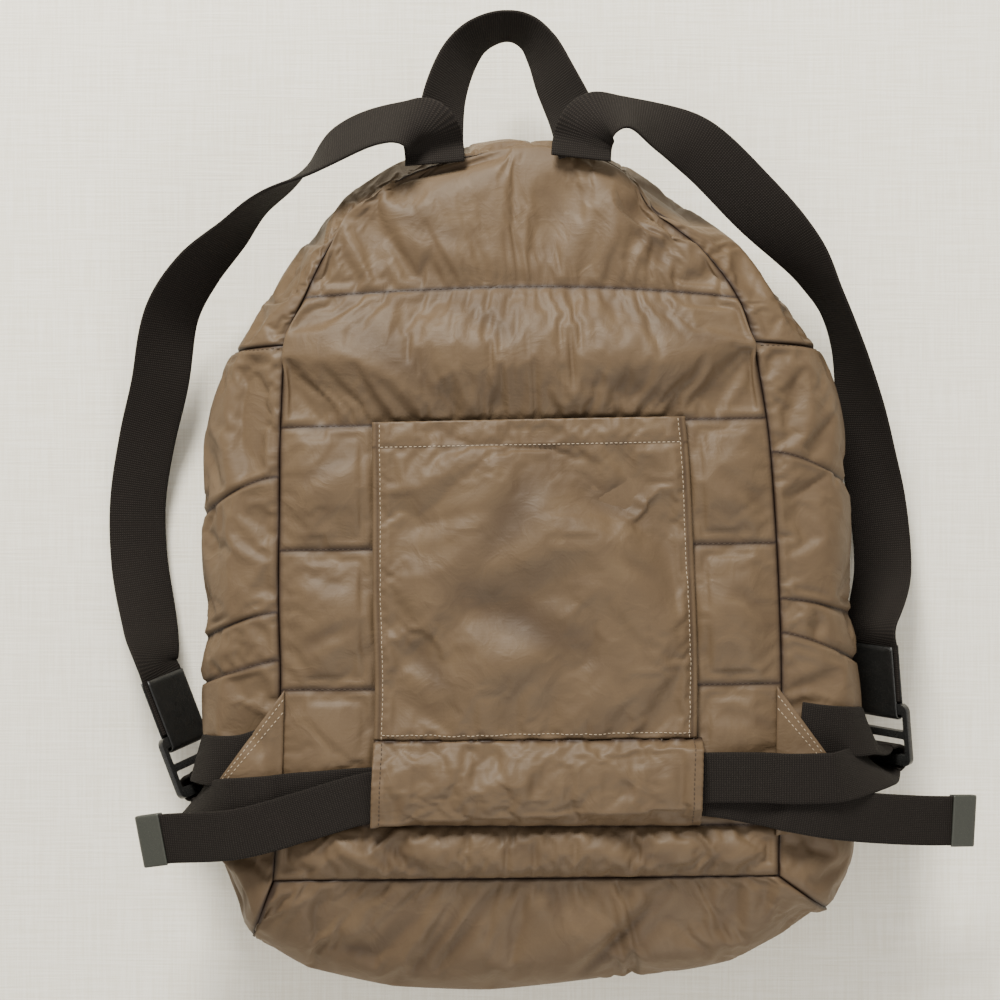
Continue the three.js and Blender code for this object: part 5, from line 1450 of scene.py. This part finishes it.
TAB_LENGTH, TAB_THICKNESS = 12 * MM, 1 * MM
for side, rings in (("left", lower_right_rings), ("right", lower_left_rings)):
    p, w, tangent = rings["p"][-1], rings["w"][-1], rings["tangent"][-1]
    origin = p + tangent * (WEBBING_THICKNESS / 2 + SEAM_GAP)
    piece = folded_skin(f"tab_skin_{side}", origin, -tangent, unit(np.cross(w, -tangent)),
                        WEBBING_THICKNESS + 2 * SEAM_GAP, TAB_THICKNESS, TAB_LENGTH, LOWER_WEBBING + 1 * MM,
                        tab_skin)
    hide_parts(f"end_tab_{side}")

# %% [markdown]
# ## The sleeve
# The sleeve is a padded tunnel over both lower straps, stitched down along its two long edges. It comes
# after the straps, because it lies over them.

# %% The sleeve over the straps
sleeve_f = np.linspace(0, 1, 27)
sleeve_u = np.linspace(POCKET_SIDES[0] + 0.003, POCKET_SIDES[1] + 0.02, 62)
sleeve_rows = 1 + (SLEEVE_TOP - 1) * sleeve_f
sleeve_base = crowned(panel_grid(BACK, sleeve_rows, sleeve_u), sleeve_rows, sleeve_u)
strap_trees = [height_tree(lower_left_piece), height_tree(lower_right_piece)]
under_trees = [height_tree(back_piece, pocket_piece)]
arch_room = (2 * WEBBING_THICKNESS + 6 * SEAM_GAP + 1.2 * MM) * (4 * sleeve_f * (1 - sleeve_f)) ** 0.35
for a in range(sleeve_base.shape[0]):
    for b in range(sleeve_base.shape[1]):
        x, y = sleeve_base[a, b, :2]
        strap_top = max(ground(strap_trees, x, y + dy) for dy in (-3 * MM, 0, 3 * MM))
        lowest = ground(under_trees, x, y) + SEAM_GAP + arch_room[a]
        sleeve_base[a, b, 2] = max(lowest, strap_top + 2 * SEAM_GAP)
for _ in range(4):
    level = (sleeve_base[:-2, :, 2] + sleeve_base[2:, :, 2]) / 2
    sleeve_base[1:-1, :, 2] = np.maximum(sleeve_base[1:-1, :, 2], level)
sleeve_start = sleeve_base.copy()
sleeve_start[..., 2] += 1.8 * MM + 4.0 * MM * np.sin(np.pi * sleeve_f)[:, None]
sleeve_start[..., 2] += 1.0 * MM * soft_noise(sleeve_start, 34 * MM, 17) * np.sin(np.pi * sleeve_f)[:, None]
sleeve_sewn = np.full(sleeve_base.shape[:2], 0.12)
sleeve_sewn[[0, -1]] = 1
sleeve_sewn[:, [0, -1]] = 0.5
sleeve_cloth = inflate("sleeve_cloth", sleeve_start, sleeve_sewn, pressure=6.0, growth=0.045)
sleeve_fine = refine(sleeve_cloth)
sleeve_fine[..., 2] += fold_heights(sleeve_fine, SLEEVE_FOLDS)
sleeve_inner = sleeve_fine.copy()
for a in range(sleeve_fine.shape[0]):
    for b in range(sleeve_fine.shape[1]):
        x, y = sleeve_fine[a, b, :2]
        below = max(ground(strap_trees, x, y + dy) for dy in (-1.5 * MM, 0, 1.5 * MM))
        sleeve_inner[a, b, 2] = max(below, ground(under_trees, x, y)) + 0.4 * MM
for _ in range(3):
    sleeve_fine[..., 2] = np.maximum(sleeve_fine[..., 2], sleeve_inner[..., 2] + 1.2 * MM)
    level = neighbour_mean(sleeve_fine[..., 2])
    sleeve_fine[1:-1, 1:-1, 2] += 0.4 * (level - sleeve_fine[1:-1, 1:-1, 2])
sleeve_fine[..., 2] = np.maximum(sleeve_fine[..., 2], sleeve_inner[..., 2] + 0.9 * MM)
# Painted shade along the sleeve's two sewn long edges.
sleeve_painted_shade = seam_mask(sleeve_fine, [0, sleeve_fine.shape[0] - 1], [], PAINTED_SHADE_REACH)
sleeve_piece = closed_sheet("sleeve_quilt", sleeve_fine, sleeve_inner, nylon, sleeve_painted_shade)
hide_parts("strap_sleeve")

# %% [markdown]
# ## Stitches
# A line of stitches is many short pieces of thread. Each one is the same small capsule that dips into the
# cloth at both ends. An array along a curve could place them; a loop lets each follow the real surface.

# %% Stitch lines
SIDES = 6
CAPSULE = [(-0.5, 0.35, -0.6), (-0.34, 0.9, 0.2), (0.0, 1.0, 0.45), (0.34, 0.9, 0.2), (0.5, 0.35, -0.6)]
SIDE_ANGLES = np.arange(SIDES) * 2 * np.pi / SIDES
AROUND_COS, AROUND_SIN = np.cos(SIDE_ANGLES), np.sin(SIDE_ANGLES)


def even_path(path, out, pitch):
    """Points at one pitch along a path, with the path's direction and the outward one there."""
    run = lengths_along(path)
    places = np.arange(pitch / 2, run[-1], pitch)
    ahead, behind = values_at(places + pitch / 3, run, path), values_at(places - pitch / 3, run, path)
    return values_at(places, run, path), unit(ahead - behind), values_at(places, run, out)


SEAM_PITCH, WING_PITCH = 2.8 * MM, 2.6 * MM
SEEN_SIDE = slice(2, 60)


def stitch_line(path, out, pitch=2.4 * MM, length=1.7 * MM, radius=0.24 * MM):
    """Capsules of thread along a path; out is one direction, or one for each point of the path."""
    points, along, up = even_path(path, np.broadcast_to(out, path.shape), pitch)
    up = unit(up - along * (up * along).sum(-1, keepdims=True))
    across = np.cross(along, up)
    rings = []
    for share, wide, high in CAPSULE:
        middle = points + along * share * length + up * high * radius
        ring = across[:, None] * AROUND_COS[None, :, None] + up[:, None] * AROUND_SIN[None, :, None]
        rings.append(middle[:, None] + ring * wide * radius)
    return np.concatenate(rings, 1)


def stitch_piece(name, lines, material):
    """One mesh of all the stitches in some lines."""
    points = np.concatenate(lines)
    j = np.arange(SIDES)
    walls = [np.stack([k * SIDES + j, k * SIDES + (j + 1) % SIDES, (k + 1) * SIDES + (j + 1) % SIDES,
                       (k + 1) * SIDES + j], -1) for k in range(len(CAPSULE) - 1)]
    last = (len(CAPSULE) - 1) * SIDES
    caps = np.array([
        (0, 3, 2, 1), (0, 5, 4, 3),
        (last, last + 1, last + 2, last + 3), (last, last + 3, last + 4, last + 5)])
    one = np.concatenate([*walls, caps])
    faces = one[None] + points.shape[1] * np.arange(len(points))[:, None, None]
    piece = add_mesh(name, points.reshape(-1, 3), faces.reshape(-1, 4), material)
    print(name, "stitches:", len(points))
    return piece


UP = np.array([0, 0, 1.0])


def grid_line(grid, row=None, column=None, trim=0):
    """A row or a column of a grid as a path, with the grid's outward directions."""
    normal = outward_normals(grid)
    path, out = (grid[row], normal[row]) if column is None else (grid[:, column], normal[:, column])
    return path[trim:len(path) - trim], out[trim:len(out) - trim]


pocket_lines = [
    stitch_line(*grid_line(pocket_fine, column=3)),
    stitch_line(*grid_line(pocket_fine, column=pocket_fine.shape[1] - 4)),
    stitch_line(*grid_line(pocket_fine, row=2 * HEM_ROW, trim=3)),
    stitch_line(*grid_line(pocket_fine, row=2, trim=3)),
]
stitch_piece("pocket_stitches", pocket_lines, cream_thread)
sleeve_lines = [
    stitch_line(*grid_line(sleeve_fine, column=3, trim=2)),
    stitch_line(*grid_line(sleeve_fine, column=sleeve_fine.shape[1] - 4, trim=2)),
]
stitch_piece("sleeve_stitches", sleeve_lines, taupe_thread_painted_shade)
gusset_lines = []
for side in SLIDERS:
    grid = strip_grids[f"side_quilt_{side}"]
    shares = spaced(np.array(GUSSET_SEAMS[side])[:, 0], BODY_LENGTH, GRID_STEP)
    rows = [2 * int(np.argmin(np.abs(shares - mark))) for mark, _ in GUSSET_SEAMS[side][1:-1]]
    for row in [*rows, -2]:
        path, out = grid_line(grid, row=row)
        gusset_lines.append(stitch_line(path[SEEN_SIDE], out[SEEN_SIDE], SEAM_PITCH))
stitch_piece("gusset_stitches", gusset_lines, taupe_thread_painted_shade)
seam_lines = []
for row in back_seams[1:]:
    seam_lines.append(stitch_line(*grid_line(back_fine, row=row, trim=2), SEAM_PITCH))
stitch_piece("back_seam_stitches", seam_lines, taupe_thread_painted_shade)
wing_lines = []
for side in SLIDERS:
    grid = wing_grids[side]
    for inset in (2, 5):
        wing_lines.append(stitch_line(grid[-1 - inset], UP, WING_PITCH))
stitch_piece("wing_stitches", wing_lines, cream_thread)

# %% [markdown]
# ## Floor and light
# The bag lies on a pale cloth under a large soft light from above its top edge.

# %% Floor and lights
floor_material, floor_nodes, floor_shader = new_finish("pale_floor", 0.9, 0.2)


def threads(tree, along_x, along_y):
    """Noise that is stretched into threads."""
    stretch = tree.nodes.new("ShaderNodeVectorMath")
    stretch.operation = "MULTIPLY"
    stretch.inputs[1].default_value = (along_x, along_y, 1)
    tree.links.new(coordinates(tree), stretch.inputs[0])
    return noise_node(tree, stretch.outputs[0], 1.0, 3.0, 0.2)


linen = math_node(
    floor_nodes, "ADD", threads(floor_nodes, 28.0, 900.0), threads(floor_nodes, 900.0, 28.0))
linen_shade = math_node(floor_nodes, "MULTIPLY_ADD", linen, 3.0, -2.5, clamp=True)
floor_colour = two_colours(floor_nodes, linen_shade, (0.84, 0.785, 0.65), (0.93, 0.885, 0.765))
floor_nodes.links.new(floor_colour, floor_shader["Base Color"])
floor_nodes.links.new(bump(floor_nodes, linen, 0.0006, 0.4), floor_shader["Normal"])
FLOOR_SIZE = 3.0
floor_corners = [(x * FLOOR_SIZE, y * FLOOR_SIZE, 0) for x, y in ((-1, -1), (1, -1), (1, 1), (-1, 1))]
floor_mesh = bpy.data.meshes.new("floor")
floor_mesh.from_pydata(floor_corners, [], [(0, 1, 2, 3)])
floor_mesh.materials.append(floor_material)
floor = bpy.data.objects.new("floor", floor_mesh)
bpy.context.scene.collection.objects.link(floor)


def area_light(name, place, aim, size, power, colour):
    data = bpy.data.lights.new(name, "AREA")
    data.shape = "DISK"
    data.size = size
    data.energy = power
    data.color = colour
    light = bpy.data.objects.new(name, data)
    light.location = place
    light.rotation_euler = (Vector(aim) - Vector(place)).to_track_quat("-Z", "Y").to_euler()
    bpy.context.scene.collection.objects.link(light)


area_light("window", (-0.35, 1.3, 1.05), (0, 0, 0.05), 0.6, 62, (1.0, 0.985, 0.93))
area_light("fill", (0.5, -1.3, 1.2), (0, 0, 0.05), 1.4, 17, (1.0, 0.98, 0.925))
world = bpy.data.worlds.new("room")
world.use_nodes = True
world.node_tree.nodes["Background"].inputs["Color"].default_value = (1.0, 0.98, 0.95, 1)
world.node_tree.nodes["Background"].inputs["Strength"].default_value = 0.72
bpy.context.scene.world = world
